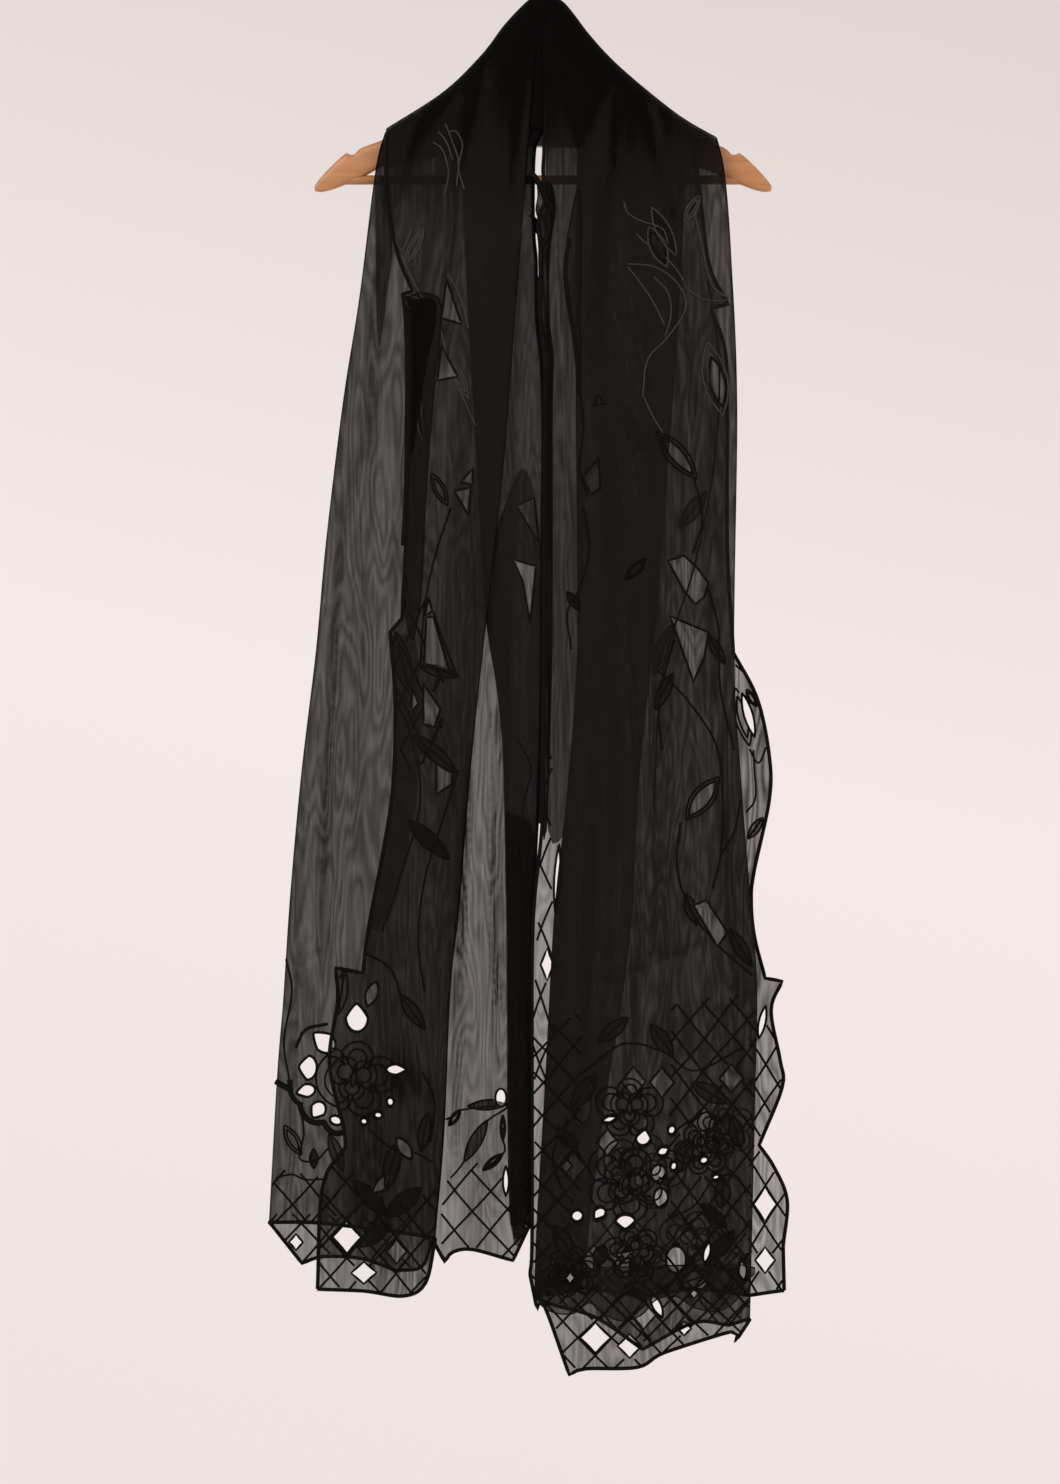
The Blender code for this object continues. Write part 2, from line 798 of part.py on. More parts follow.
def wall_from_sheet(name, points, faces, rim, material):
    """A closed wall of WALL thickness about a middle surface whose faces look forward."""
    normal = np.zeros_like(points)
    for face in faces:
        corners = points[list(face)]
        across = np.cross(corners[1] - corners[0], corners[2] - corners[0])
        if len(face) == 4:
            across = np.cross(corners[2] - corners[0], corners[3] - corners[1])
        normal[list(face)] += across
    normal[rim, 1] = 0.0
    normal /= np.maximum(np.linalg.norm(normal, axis=1), 1e-9)[:, None]
    count = len(points)
    both = np.vstack([points + 0.5 * WALL * normal, points - 0.5 * WALL * normal]) * MM
    faces = [[int(i) for i in face] for face in faces]
    walls = faces + [[i + count for i in face[::-1]] for face in faces]
    once = {}
    for face in faces:
        for a, b in zip(face, face[1:] + face[:1]):
            if (b, a) in once:
                del once[(b, a)]
            else:
                once[(a, b)] = True
    walls += [[b, a, a + count, b + count] for a, b in once]
    mesh = bpy.data.meshes.new(name)
    mesh.from_pydata([tuple(p) for p in both], [], walls)
    mesh.materials.append(material)
    form = bmesh.new()
    form.from_mesh(mesh)
    bmesh.ops.delete(form, geom=[v for v in form.verts if not v.link_faces], context="VERTS")
    form.to_mesh(mesh)
    form.free()
    return add_object(name, mesh)


def add_object(name, mesh):
    """A new object in the scene for a mesh."""
    thing = bpy.data.objects.new(name, mesh)
    bpy.context.scene.collection.objects.link(thing)
    return thing


def neck_depth(layer, down, top, lean, clear_stem):
    """Distance behind the hanger's middle plane of a layer of the neck."""
    turned = 1.0 - np.clip((down - top) / lean / turn_height(layer), 0.0, 1.0)
    rim = 0.5 * SEAM_GAP
    depth = rim + (float(stack_depth(layer, down)) - rim) * math.sqrt(1.0 - turned**2)
    return max(depth, clear_stem)


def neck_profile(top, lean, foot):
    """The neck's three layers in one section, from the top outline on: layer and height."""
    fold = top + NECK_FOLD * lean
    start = top + NECK_START * lean
    low = foot - NECK_BEND
    high = fold + NECK_BEND
    rows = [(2, top + near * lean) for near in NECK_TURN]
    rows += [(2, start + (low - start) * part) for part in NECK_PARTS]
    rows += [(1.5, foot)]
    rows += [(1, high + (low - high) * part) for part in NECK_PARTS[::-1]]
    rows += [(0.5, fold)]
    rows += [(0, high + (foot + NECK_BEND - high) * part) for part in NECK_PARTS]
    return rows


def neck_back(material):
    """The gathered stretch behind the neck: three layers in one zigzag wall."""
    left = np.arange(-157.0, -10.0, NECK_COLUMN)
    right = np.arange(12.0, 160.0, NECK_COLUMN)
    rows = []
    for x in (*left, -4.5, 4.5, *right, 171.0):
        top = float(ridge_down(x))
        lean = float(ridge_down(x, 1.0)) - top
        foot = NECK_FOOT + NECK_DROP * (x / NECK_SHOULDER) ** 2
        clear_stem = STEM_CLEAR * max(0.0, 1.0 - (x / STEM_BESIDE) ** 2)
        for layer, down in neck_profile(top, lean, foot):
            rows.append((x, neck_depth(layer, down, top, lean, clear_stem), -down))
    points = np.array(rows)
    wide = len(neck_profile(0.0, 1.0, NECK_FOOT))
    faces = []
    for i in range(len(rows) // wide - 1):
        for j in range(wide - 1):
            a = i * wide + j
            faces.append([a + wide, a + wide + 1, a + 1, a])
    rim = np.arange(len(points)) % wide == 0
    return wall_from_sheet("neck_back", points, faces, rim, material)


def bow(material):
    """The hanger's flat wooden bow with its top edge rounded, notched near the tips."""
    arm = smooth_line([(x, top) for x, top, _ in BOW], 14.0)
    under = smooth_line([(x, low) for x, _, low in BOW], 14.0)
    xs = arm[:, 0]
    low = np.interp(xs, under[:, 0], under[:, 1])
    xs = np.concatenate([-xs[:0:-1], xs])
    top = np.concatenate([arm[:0:-1, 1], arm[:, 1]])
    low = np.concatenate([low[:0:-1], low])
    half, round_off = 0.5 * BOW_THICK, BOW_ROUND
    section = (
        (-half, 0, round_off),
        (-half + round_off, 0, 0),
        (half - round_off, 0, 0),
        (half, 0, round_off),
        (half, 1, -round_off),
        (half - round_off, 1, 0),
        (-half + round_off, 1, 0),
        (-half, 1, -round_off),
    )
    points, faces = [], []
    for x, a, b in zip(xs, top, low):
        squeeze = min(1.0, (b - a) / (3.0 * round_off))
        for y, end, shift in section:
            points.append((x * MM, y * MM, -(a + (b - a) * end + shift * squeeze) * MM))
    n = len(section)
    for i in range(len(xs) - 1):
        for j in range(n):
            a, b = i * n + j, i * n + (j + 1) % n
            faces.append((a, b, b + n, a + n))
    faces.append(tuple(range(n))[::-1])
    faces.append(tuple(range((len(xs) - 1) * n, len(xs) * n)))
    mesh = bpy.data.meshes.new("hanger_bow")
    mesh.from_pydata(points, [], faces)
    mesh.materials.append(material)
    fix_normals(mesh)
    thing = add_object("hanger_bow", mesh)
    cutters = []
    for side in (-1, 1):
        top_here = float(np.interp(NOTCH_X, arm[:, 0], arm[:, 1]))
        cutters.append(cylinder("notch", NOTCH_SIZE, BOW_THICK + 4, 10))
        cutters[-1].rotation_euler = (math.pi / 2, 0, 0)
        cutters[-1].location = (side * NOTCH_X * MM, 0, -(top_here + 0.5) * MM)
        cutters.append(cylinder("socket", BAR_RADIUS + SEAM_GAP, SOCKET, 16))
        cutters[-1].rotation_euler = (0, math.pi / 2, 0)
        socket_x = BAR_REACH + SEAM_GAP - 0.5 * SOCKET
        cutters[-1].location = (side * socket_x * MM, 0, -BAR_DOWN * MM)
    cutters.append(cylinder("stem_hole", WIRE_RADIUS + SEAM_GAP, STEM_HOLE, 12))
    cutters[-1].location = (0, 0, -(STEM_FOOT - 0.5 * STEM_HOLE + SEAM_GAP) * MM)
    for cutter in cutters:
        cut(thing, cutter)
    return thing


def cylinder(name, radius, length, sides):
    """A cutter: a plain cylinder along Z."""
    mesh = bpy.data.meshes.new(name)
    form = bmesh.new()
    bmesh.ops.create_cone(
        form,
        cap_ends=True,
        segments=sides,
        radius1=radius * MM,
        radius2=radius * MM,
        depth=length * MM,
    )
    form.to_mesh(mesh)
    form.free()
    thing = add_object(name, mesh)
    thing.hide_render = True
    thing.display_type = "WIRE"
    return thing


def cut(thing, cutter):
    """Takes a cutter's shape out of a thing with an exact boolean."""
    change = thing.modifiers.new(cutter.name, "BOOLEAN")
    change.operation = "DIFFERENCE"
    change.solver = "EXACT"
    change.object = cutter


def fix_normals(mesh):
    """Turns a closed mesh's faces outward."""
    form = bmesh.new()
    form.from_mesh(mesh)
    bmesh.ops.recalc_face_normals(form, faces=form.faces)
    form.to_mesh(mesh)
    form.free()


def rod(name, points, radius, sides_quarter, material):
    """A round bar or wire along points, with filled ends."""
    curve = bpy.data.curves.new(name, "CURVE")
    curve.dimensions = "3D"
    curve.bevel_depth = radius * MM
    curve.bevel_resolution = sides_quarter
    curve.use_fill_caps = True
    line = curve.splines.new("POLY")
    line.points.add(len(points) - 1)
    for point, (x, y, down) in zip(line.points, points):
        point.co = (x * MM, y * MM, -down * MM, 1.0)
    curve.materials.append(material)
    thing = bpy.data.objects.new(name, curve)
    bpy.context.scene.collection.objects.link(thing)
    return thing


def hook_points():
    """The hook's wire: a straight stem, a small bend and an open loop over the origin."""
    ring = HOOK_INSIDE + WIRE_RADIUS
    stem = ((0.0, STEM_FOOT), (0.0, 90.0), (0.0, 48.0), (1.2, 42.5), (4.5, 38.0))
    points = [(x, 0.0, down) for x, down in stem]
    for turn in np.radians(np.linspace(-62.0, 202.0, 17)):
        points.append((ring * math.cos(turn), 0.0, HOOK_INSIDE - ring * math.sin(turn)))
    return points


def build_materials():
    """The Principled materials of the cloth, the wood and the wire."""
    made = {}
    for name, (colour, roughness, metallic) in MATERIALS.items():
        material = bpy.data.materials.new(name)
        material.use_nodes = True
        shader = material.node_tree.nodes["Principled BSDF"]
        shader.inputs["Base Color"].default_value = colour
        shader.inputs["Roughness"].default_value = roughness
        shader.inputs["Metallic"].default_value = metallic
        made[name] = material
    return made


def main():
    for thing in list(bpy.data.objects):
        bpy.data.objects.remove(thing)
    made = build_materials()
    bow(made["wood"])
    rod(
        "hanger_bar",
        [(-BAR_REACH, 0, BAR_DOWN), (0, 0, BAR_DOWN), (BAR_REACH, 0, BAR_DOWN)],
        BAR_RADIUS,
        2,
        made["wood"],
    )
    rod("hanger_hook", hook_points(), WIRE_RADIUS, 1, made["wire"])
    neck_back(made["organza"])
    for panel in PANELS:
        points, tris, rim = sheet(panel)
        wall_from_sheet(panel[0], points, tris, rim, made["organza"])


main()
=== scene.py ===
"""A sheer black organza dupatta with corded cutwork borders, on a wooden hanger.

The tables of the shape are in millimetres, x to the right and down below the hook, and they
repeat those of the frame's solids. Everything made from them is in metres.
"""

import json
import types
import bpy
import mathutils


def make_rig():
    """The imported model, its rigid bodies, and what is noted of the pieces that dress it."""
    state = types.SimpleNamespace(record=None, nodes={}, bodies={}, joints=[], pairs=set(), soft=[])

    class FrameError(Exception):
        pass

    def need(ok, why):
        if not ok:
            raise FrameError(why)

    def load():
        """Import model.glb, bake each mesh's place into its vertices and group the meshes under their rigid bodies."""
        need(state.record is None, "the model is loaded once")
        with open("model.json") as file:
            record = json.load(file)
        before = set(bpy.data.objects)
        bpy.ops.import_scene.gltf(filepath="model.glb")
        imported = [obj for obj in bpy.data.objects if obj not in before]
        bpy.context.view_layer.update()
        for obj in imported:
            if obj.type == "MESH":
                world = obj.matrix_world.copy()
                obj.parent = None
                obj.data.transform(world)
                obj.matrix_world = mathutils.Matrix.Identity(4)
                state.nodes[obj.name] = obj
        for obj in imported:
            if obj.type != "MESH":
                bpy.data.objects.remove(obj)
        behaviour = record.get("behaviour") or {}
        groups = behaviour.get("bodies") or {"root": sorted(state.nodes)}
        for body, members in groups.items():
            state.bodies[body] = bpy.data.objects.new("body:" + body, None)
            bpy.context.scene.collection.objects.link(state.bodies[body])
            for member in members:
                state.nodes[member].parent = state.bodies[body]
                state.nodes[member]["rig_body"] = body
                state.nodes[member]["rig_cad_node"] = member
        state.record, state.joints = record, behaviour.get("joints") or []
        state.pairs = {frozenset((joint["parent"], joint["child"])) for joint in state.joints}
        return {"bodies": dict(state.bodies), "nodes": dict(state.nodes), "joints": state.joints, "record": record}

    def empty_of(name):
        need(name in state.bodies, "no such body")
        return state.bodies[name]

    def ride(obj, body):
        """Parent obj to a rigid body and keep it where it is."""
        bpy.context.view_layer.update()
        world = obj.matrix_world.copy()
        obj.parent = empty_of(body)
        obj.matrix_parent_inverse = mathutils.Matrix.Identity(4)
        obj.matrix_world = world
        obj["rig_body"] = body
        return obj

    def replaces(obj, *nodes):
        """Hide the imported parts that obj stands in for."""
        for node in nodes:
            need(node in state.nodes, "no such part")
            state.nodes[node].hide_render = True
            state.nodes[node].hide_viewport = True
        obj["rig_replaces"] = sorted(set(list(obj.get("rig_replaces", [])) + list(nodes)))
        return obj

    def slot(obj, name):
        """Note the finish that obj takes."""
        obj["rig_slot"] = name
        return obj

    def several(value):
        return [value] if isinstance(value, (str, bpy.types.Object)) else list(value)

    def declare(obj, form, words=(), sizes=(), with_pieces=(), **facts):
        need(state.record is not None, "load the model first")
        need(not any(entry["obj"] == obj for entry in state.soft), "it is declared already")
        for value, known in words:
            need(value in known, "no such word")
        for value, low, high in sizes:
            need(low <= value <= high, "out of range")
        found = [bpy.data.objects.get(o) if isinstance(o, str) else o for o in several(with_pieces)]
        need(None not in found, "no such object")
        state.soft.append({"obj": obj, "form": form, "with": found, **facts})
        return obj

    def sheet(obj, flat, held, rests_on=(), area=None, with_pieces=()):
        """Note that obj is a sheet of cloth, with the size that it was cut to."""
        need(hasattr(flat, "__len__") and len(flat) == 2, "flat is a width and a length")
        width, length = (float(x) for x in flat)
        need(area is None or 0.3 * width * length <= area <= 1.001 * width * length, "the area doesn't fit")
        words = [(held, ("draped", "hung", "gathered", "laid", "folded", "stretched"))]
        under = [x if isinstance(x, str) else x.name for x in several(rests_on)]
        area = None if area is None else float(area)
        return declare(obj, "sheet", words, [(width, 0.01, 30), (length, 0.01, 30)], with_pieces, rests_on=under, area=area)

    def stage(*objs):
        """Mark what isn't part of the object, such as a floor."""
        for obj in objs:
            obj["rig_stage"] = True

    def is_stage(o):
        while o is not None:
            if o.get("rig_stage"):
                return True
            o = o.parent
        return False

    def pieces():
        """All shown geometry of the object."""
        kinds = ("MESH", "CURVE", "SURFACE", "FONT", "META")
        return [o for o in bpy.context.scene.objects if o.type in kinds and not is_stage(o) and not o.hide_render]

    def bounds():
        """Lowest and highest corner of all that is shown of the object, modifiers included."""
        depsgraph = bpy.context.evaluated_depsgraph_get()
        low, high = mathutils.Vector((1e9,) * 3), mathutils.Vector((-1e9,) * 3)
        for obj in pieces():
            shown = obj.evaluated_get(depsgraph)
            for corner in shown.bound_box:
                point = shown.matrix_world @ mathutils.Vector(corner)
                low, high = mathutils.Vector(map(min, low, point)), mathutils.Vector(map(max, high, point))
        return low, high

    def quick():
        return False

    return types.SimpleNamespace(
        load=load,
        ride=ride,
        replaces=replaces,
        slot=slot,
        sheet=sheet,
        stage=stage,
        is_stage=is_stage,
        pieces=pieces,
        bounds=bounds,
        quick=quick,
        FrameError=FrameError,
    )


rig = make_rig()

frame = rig.load()
CAD_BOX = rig.bounds()

import json
import math

import bmesh
import bpy
import numpy as np
from mathutils import Vector
from mathutils.geometry import delaunay_2d_cdt

MM = 0.001
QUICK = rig.quick()

# Spacing of points in a shell, on its edges, on a drawn line, on a crease, in a laid piece, in
# the neck's lap and along the top outline
GRID = 9.0 if QUICK else 6.0
EDGE_STEP = 5.0
LINE_STEP = 3.0
ROUTE_STEP = 20.0
LAID_STEP = 9.0
LAP_STEP = 6.0
TOP_STEP = 6.5
TOP_COLUMNS = TOP_STEP * np.arange(-28, 29)

# Height at which the turn is levelled when points are joined, and how far below it that ends
TOP_ZONE = 205.0
LEVEL_REACH = 320.0

# Where more points lie, in shares of a turn over the top and of a fold's radius
TURN_PARTS = (0.04, 0.12, 0.25, 0.45, 0.7, 1.0)
FOLD_PARTS = (0.15, 0.5, 1.1)

# Camera: distance from the cloth, and the middle and height of what it sees
CAMERA_AWAY = 4000.0
VIEW_X = -13.0
VIEW_DOWN = 792.0
VIEW_TALL = 1484.0
SENSOR = 36.0

# Wall of the cloth, and its distance from the bow
WALL = 1.0
REST_GAP = 0.3

# Hanger: the bow, the bar, the hook with its stem as x and down and the start, end and count
# of its turn in degrees, and the notches
BOW_THICK = 12.0
BOW_STEP = 4.0
BOW_SIDES = 24
BOW_SQUARE = (0.45, 0.55)
BAR_DOWN = 230.0
BAR_RADIUS = 4.7
BAR_REACH = 205.0
WIRE_RADIUS = 2.0
HOOK_INSIDE = 17.0
HOOK_STEM = ((0.0, 138.0), (0.0, 90.0), (0.0, 60.0), (0.0, 48.0), (1.2, 42.5), (4.5, 38.0))
HOOK_TURN = (-62.0, 202.0, 40)
NOTCH_X = 189.0
NOTCH_SIZE = 5.0

# The stack of pleats: depth of the innermost one, which rests against the bow, and the distance
# from one to the next, each growing from the peak to the arms between two heights
PEAK_DEPTH = 4.5
ARM_DEPTH = 0.5 * BOW_THICK + REST_GAP + 0.5 * WALL
DEPTH_GROWS = (58.0, 128.0)
PEAK_SPACING = 1.9
ARM_SPACING = 5.0
SPACING_GROWS = (60.0, 190.0)

# How high outer and inner pleats turn over the top, the distance between the lines of their
# turns, and how far inside the top outline a pleat with no turn ends
OUTER_TURN = 20.0
INNER_TURN = 7.2
RIDGE_STEP = 2.1
PLEAT_TOP = 25.0

# Long soft flutes of both tails: depth, distance from one to the next, lean, phase
FLUTES = (
    (3.6, 176.0, 0.07, -0.25),
    (1.6, 118.0, -0.04, 1.9),
)

# Heights between which they grow
FLUTES_GROW = (280.0, 700.0)

# The gathered stretch behind the neck: height of its foot in the middle, how far the foot drops
# at a shoulder, the folds between its three layers, and its ends and points across
NECK_FOOT = 194.0
NECK_DROP = 24.0
NECK_SHOULDER = 165.0
NECK_START = 18.0
NECK_FOLD = 12.0
NECK_BEND = 2.5
NECK_ENDS = (-157.2, 171.2)
NECK_COLUMNS = 120

# Its fanned pleats: their height, how many, the point that they spread from, and how far from
# the top they start and are whole
NECK_RIPPLE = 0.8
NECK_RIPPLES = 34.0
NECK_FAN = 30.0
NECK_CALM = 12.0
NECK_GROWS = 30.0

# Room that it leaves for the hook's stem, and how far beside the stem
STEM_CLEAR = 3.4
STEM_BESIDE = 12.0

# Cloth left beside each hole
HOLE_TO_EDGE = 2.5
HOLE_TO_HOLE = 1.5

# Points round a hole, and how much a drop narrows to its tip
DIAMOND_POINTS = 12
ROUND_POINTS = 20
DROP_NARROWS = 0.55

# Distance from a hole's edge to the next point of the cloth
HOLE_CLEAR = 1.2

# Top outline of the cloth, from the left shoulder over the peak to the right one: x, down
RIDGE = (
    (-162, 183), (-154, 177), (-100, 142), (-61, 104), (-39, 75), (-17, 52), (-4.5, 44), (4.5, 44),
    (18, 50), (28, 60), (47, 85), (72, 112), (104, 140), (140, 168), (178, 190),
)

# Marks where a line comes to a tip
TIP = True

# Long edges and fold lines: down and x, with TIP at a tip
EDGES = {
    # fold between left_under and left_back, the left outline
    "left_outline": (
        (150, -152), (185, -158), (224, -167), (350, -183), (452, -199), (592, -216), (700, -226),
        (825, -241), (945, -252), (1050, -259), (1125, -265), (1270, -273, TIP),
    ),
    # free edge of left_front, with the ogee tips of its cutwork border
    "left_border": (
        (150, -156), (240, -156), (278, -151), (312, -143), (344, -130, TIP), (347, -139, TIP),
        (390, -134), (554, -135), (669, -140, TIP), (683, -152, TIP), (750, -147), (834, -149),
        (901, -159), (975, -173), (1021, -179, TIP), (1016, -206, TIP), (1050, -204), (1110, -212),
        (1175, -198), (1193, -196, TIP), (1234, -219), (1335, -224, TIP),
    ),
    # fold between left_front and left_under
    "left_turn": (
        (40, -4.5), (75, -4.5), (195, -14), (321, -24), (438, -33), (535, -41), (660, -55), (810, -71),
        (955, -83), (1040, -92), (1179, -98), (1286, -107, TIP),
    ),
    # fold between left_pleat_a and left_pleat_b
    "left_pleat": (
        (100, -84), (195, -82), (360, -75), (535, -65), (660, -58), (740, -46), (810, -40), (973, -36),
        (1272, -32, TIP),
    ),
    # fold between left_back and left_pleat_a, also the free edge of left_pleat_b
    "left_inner": (
        (40, -4.5), (74, -4.5), (96, 2), (178, 2), (197, -8), (250, -10), (290, -9), (312, -7),
        (372, -6), (460, 0), (750, -2), (850, -5), (964, -10), (1129, -12.5), (1272, -13, TIP),
    ),
    # free edge of right_front, a corded and scalloped border
    "right_border": (
        (40, 4.5), (74, 4.5), (96, 0), (197, 1), (226, 0), (252, 3, TIP), (276, -5), (302, -3),
        (372, -2), (410, 4, TIP), (470, 2.5), (650, 2), (777, 1), (873, -1), (973, -10), (1120, -11),
        (1286, -11), (1321, -13, TIP),
    ),
    # folds between right_under and right_pleat_a, and right_pleat_b and right_back
    "right_inner": (
        (40, 10), (120, 10), (182, 10, TIP), (195, 34, TIP), (340, 32), (650, 34), (740, 32), (850, 23),
        (964, 11), (1129, 2), (1263, -6), (1344, -9, TIP),
    ),
    # fold between right_pleat_a and right_pleat_b
    "right_pleat": (
        (160, 146), (195, 144), (350, 136), (486, 127), (656, 114), (839, 95), (964, 89), (1062, 77),
        (1152, 62), (1338, 38, TIP),
    ),
    # fold between right_front and right_under, the right outline
    "right_outline": (
        (150, 170), (187, 173), (229, 181), (307, 187), (457, 193), (703, 190), (831, 197), (955, 207),
        (1036, 213), (1152, 211), (1366, 206, TIP),
    ),
    # free edge of right_back, which shows as a flap past the right outline
    "right_border_back": (
        (150, 150), (200, 152), (236, 156), (315, 166), (355, 185, TIP), (359, 168, TIP), (403, 182),
        (470, 184), (600, 184), (703, 190, TIP), (749, 214), (806, 226), (850, 226), (920, 211),
        (949, 208), (985, 211), (1028, 222, TIP), (1031, 239, TIP), (1060, 228), (1110, 237),
        (1137, 239), (1195, 216, TIP), (1217, 231), (1250, 244), (1296, 240, TIP), (1340, 241, TIP),
    ),
}

# Hems from left to right, between their corners on the edges: x and down, with TIP at a tip
HEMS = {
    "left_front": ((-179, 1337), (-139, 1343), (-117, 1330)),
    "left_under": ((-222, 1270), (-165, 1277)),
    "left_back": (
        (-240, 1311, TIP), (-219, 1304), (-181, 1306), (-146, 1319, TIP), (-121, 1315),
        (-110, 1288, TIP), (-98, 1310, TIP), (-90, 1300), (-70, 1297), (-30, 1308, TIP),
    ),
    "left_pleat_a": (),
    "left_pleat_b": (),
    "right_front": (
        (-6, 1356, TIP), (1, 1352), (26, 1421, TIP), (42, 1415), (94, 1413), (121, 1398), (187, 1378),
        (191, 1388, TIP),
    ),
    "right_under": ((10, 1352), (53, 1365), (99, 1396, TIP), (150, 1369), (185, 1372, TIP)),
    "right_pleat_a": (),
    "right_pleat_b": (),
    "right_back": ((40, 1338), (100, 1346, TIP), (150, 1338), (207, 1345, TIP)),
}

# Panels. order counts pleats outward from the hanger; ridge counts those under the outer one
# where they turn over the top, or is None for a pleat that ends below the turn.
PANELS = (
    # name, order, ridge, left edge, its fold joins, right edge, its fold joins
    ("left_front", 4, 0, "left_border", None, "left_turn", 3),
    ("left_under", 3, 1, "left_outline", 2, "left_turn", 4),
    ("left_back", 2, 2, "left_outline", 3, "left_inner", 1),
    ("left_pleat_a", 1, None, "left_pleat", 0, "left_inner", 2),
    ("left_pleat_b", 0, None, "left_pleat", 1, "left_inner", None),
    ("right_front", 4, 0, "right_border", None, "right_outline", 3),
    ("right_under", 3, 1, "right_inner", 2, "right_outline", 4),
    ("right_pleat_a", 2, None, "right_inner", 3, "right_pleat", 1),
    ("right_pleat_b", 1, None, "right_inner", 0, "right_pleat", 2),
    ("right_back", 0, 2, "right_inner", 1, "right_border_back", None),
)

# Cutwork. Holes that go through every pleat at their place: shape, x, down, wide, tall, and turn
THROUGH = (
    ("drop", -185, 1066, 22, 28), ("drop", -218, 1090, 20, 26, -50), ("drop", -234, 1116, 24, 18, -84),
    ("drop", -236, 1139, 13, 19, -105), ("drop", -224, 1158, 15, 18, -145),
    ("round", -206, 1168, 12, 9, 20), ("drop", -146, 1118, 11, 20, 90), ("round", -178, 1169, 7, 7),
    ("round", -164, 1163, 8, 7), ("round", -152, 1150, 7, 9), ("diamond", -195, 1284, 29, 33),
    ("drop", 100, 1186, 15, 17, 10), ("drop", 120, 1199, 10, 13, 60), ("round", 130, 1214, 7, 10),
    ("drop", 82, 1270, 20, 16, 180), ("drop", 56, 1262, 12, 15, 215), ("round", 34, 1264, 12, 13),
    ("round", 128, 1178, 8, 10), ("round", 160, 1208, 9, 9), ("round", 172, 1225, 8, 7),
    ("lens", 163, 1300, 8, 24, 10), ("lens", 199, 1319, 9, 22, -10), ("diamond", 140, 1374, 14, 14),
    ("lens", 66, 1168, 16, 8, -15), ("lens", 113, 1352, 9, 26, -25), ("diamond", 27, 1326, 12, 14),
)

# Holes in one pleat only, for each panel: shape, x, down, wide, tall, and turn
SINGLE = {
    "left_front": (
        ("diamond", -178, 1319, 25, 22), ("lens", -170, 1042, 12, 26, 20),
        ("lens", -158, 1230, 12, 30, 50), ("lens", -138, 1196, 12, 26, -35),
    ),
    "left_back": (
        ("round", -42, 1146, 11, 18), ("lens", -37, 1229, 6, 30), ("diamond", -246, 1290, 14, 16),
        ("diamond", -146, 1300, 20, 24),
    ),
    "right_front": (
        ("diamond", 4, 1013, 13, 32), ("lens", 14, 928, 6, 70, 3),
        ("round", 115, 1221, 15, 18), ("round", 117, 1245, 14, 20), ("round", 132, 1306, 20, 27),
        ("diamond", 64, 1190, 22, 26), ("diamond", 160, 1170, 24, 30), ("diamond", 118, 1130, 24, 30),
        ("lens", 158, 848, 15, 44, 38), ("lens", 173, 434, 15, 50, -12),
        ("lens", 133, 507, 12, 50, -40), ("lens", 114, 300, 10, 34, -24), ("diamond", 52, 1384, 30, 30),
        ("diamond", 86, 1392, 24, 24), ("diamond", 187, 1126, 24, 28), ("diamond", 30, 1214, 26, 30),
    ),
    "right_under": (
        ("lens", 40, 1160, 14, 34, 20), ("round", 115, 1221, 15, 18), ("round", 117, 1245, 14, 20),
        ("round", 132, 1306, 20, 27), ("diamond", 50, 1306, 24, 28), ("diamond", 90, 1130, 24, 30),
        ("diamond", 150, 1330, 26, 30), ("diamond", 100, 1362, 24, 28),
    ),
    "right_pleat_a": (
        ("diamond", 19, 1214, 20, 26),
    ),
    "right_pleat_b": (
        ("round", 66, 1224, 18, 20),
    ),
    "right_back": (
        ("diamond", 222, 1254, 23, 34), ("lens", 219, 1072, 7, 34, 12), ("diamond", 222, 1310, 20, 26),
        ("lens", 205, 765, 9, 46, -16), ("diamond", 226, 1196, 10, 14),
    ),
}

# Angular cut-outs of the borders, for each panel: their corners as x, down
PATCHES = {
    "left_front": (
        ((-96, 332), (-81, 377), (-101, 371)), ((-101, 398), (-85, 429), (-105, 433)),
        ((-70, 520), (-70, 536), (-82, 534)), ((-88, 543), (-72, 539), (-74, 567)),
        ((-114, 648), (-110, 662), (-117, 666)), ((-116, 668), (-109, 668), (-93, 722), (-118, 714)),
        ((-119, 734), (-102, 759), (-108, 777), (-119, 774)),
        ((-106, 814), (-90, 823), (-91, 834), (-106, 844)), ((-130, 737), (-124, 754), (-131, 762)),
    ),
    "left_back": (
        ((-27, 557), (-9, 549), (-4, 594)), ((-30, 610), (-7, 617), (-13, 674), (-20, 633)),
    ),
    "right_front": (
        ((124, 612), (140, 607), (153, 619), (164, 634), (160, 648), (151, 655), (140, 642)),
        ((126, 667), (164, 683), (160, 708), (149, 732), (132, 683)),
        ((149, 954), (162, 949), (183, 981), (173, 995)), ((55, 447), (60, 456), (50, 458)),
        ((55, 510), (57, 540), (48, 546), (39, 529)),
    ),
    "right_back": (
        ((66, 1304), (90, 1300), (84, 1330)),
    ),
}

# Hanger bow, one arm from the middle to the tip: x, top down, bottom down
BOW = (
    (0, 129, 179), (30, 131, 179), (60, 140, 183), (95, 154, 191), (130, 173, 203), (156, 188, 214),
    (176, 196, 225), (196, 203, 234), (212, 217, 240), (223, 229, 242), (228, 236, 241),
)

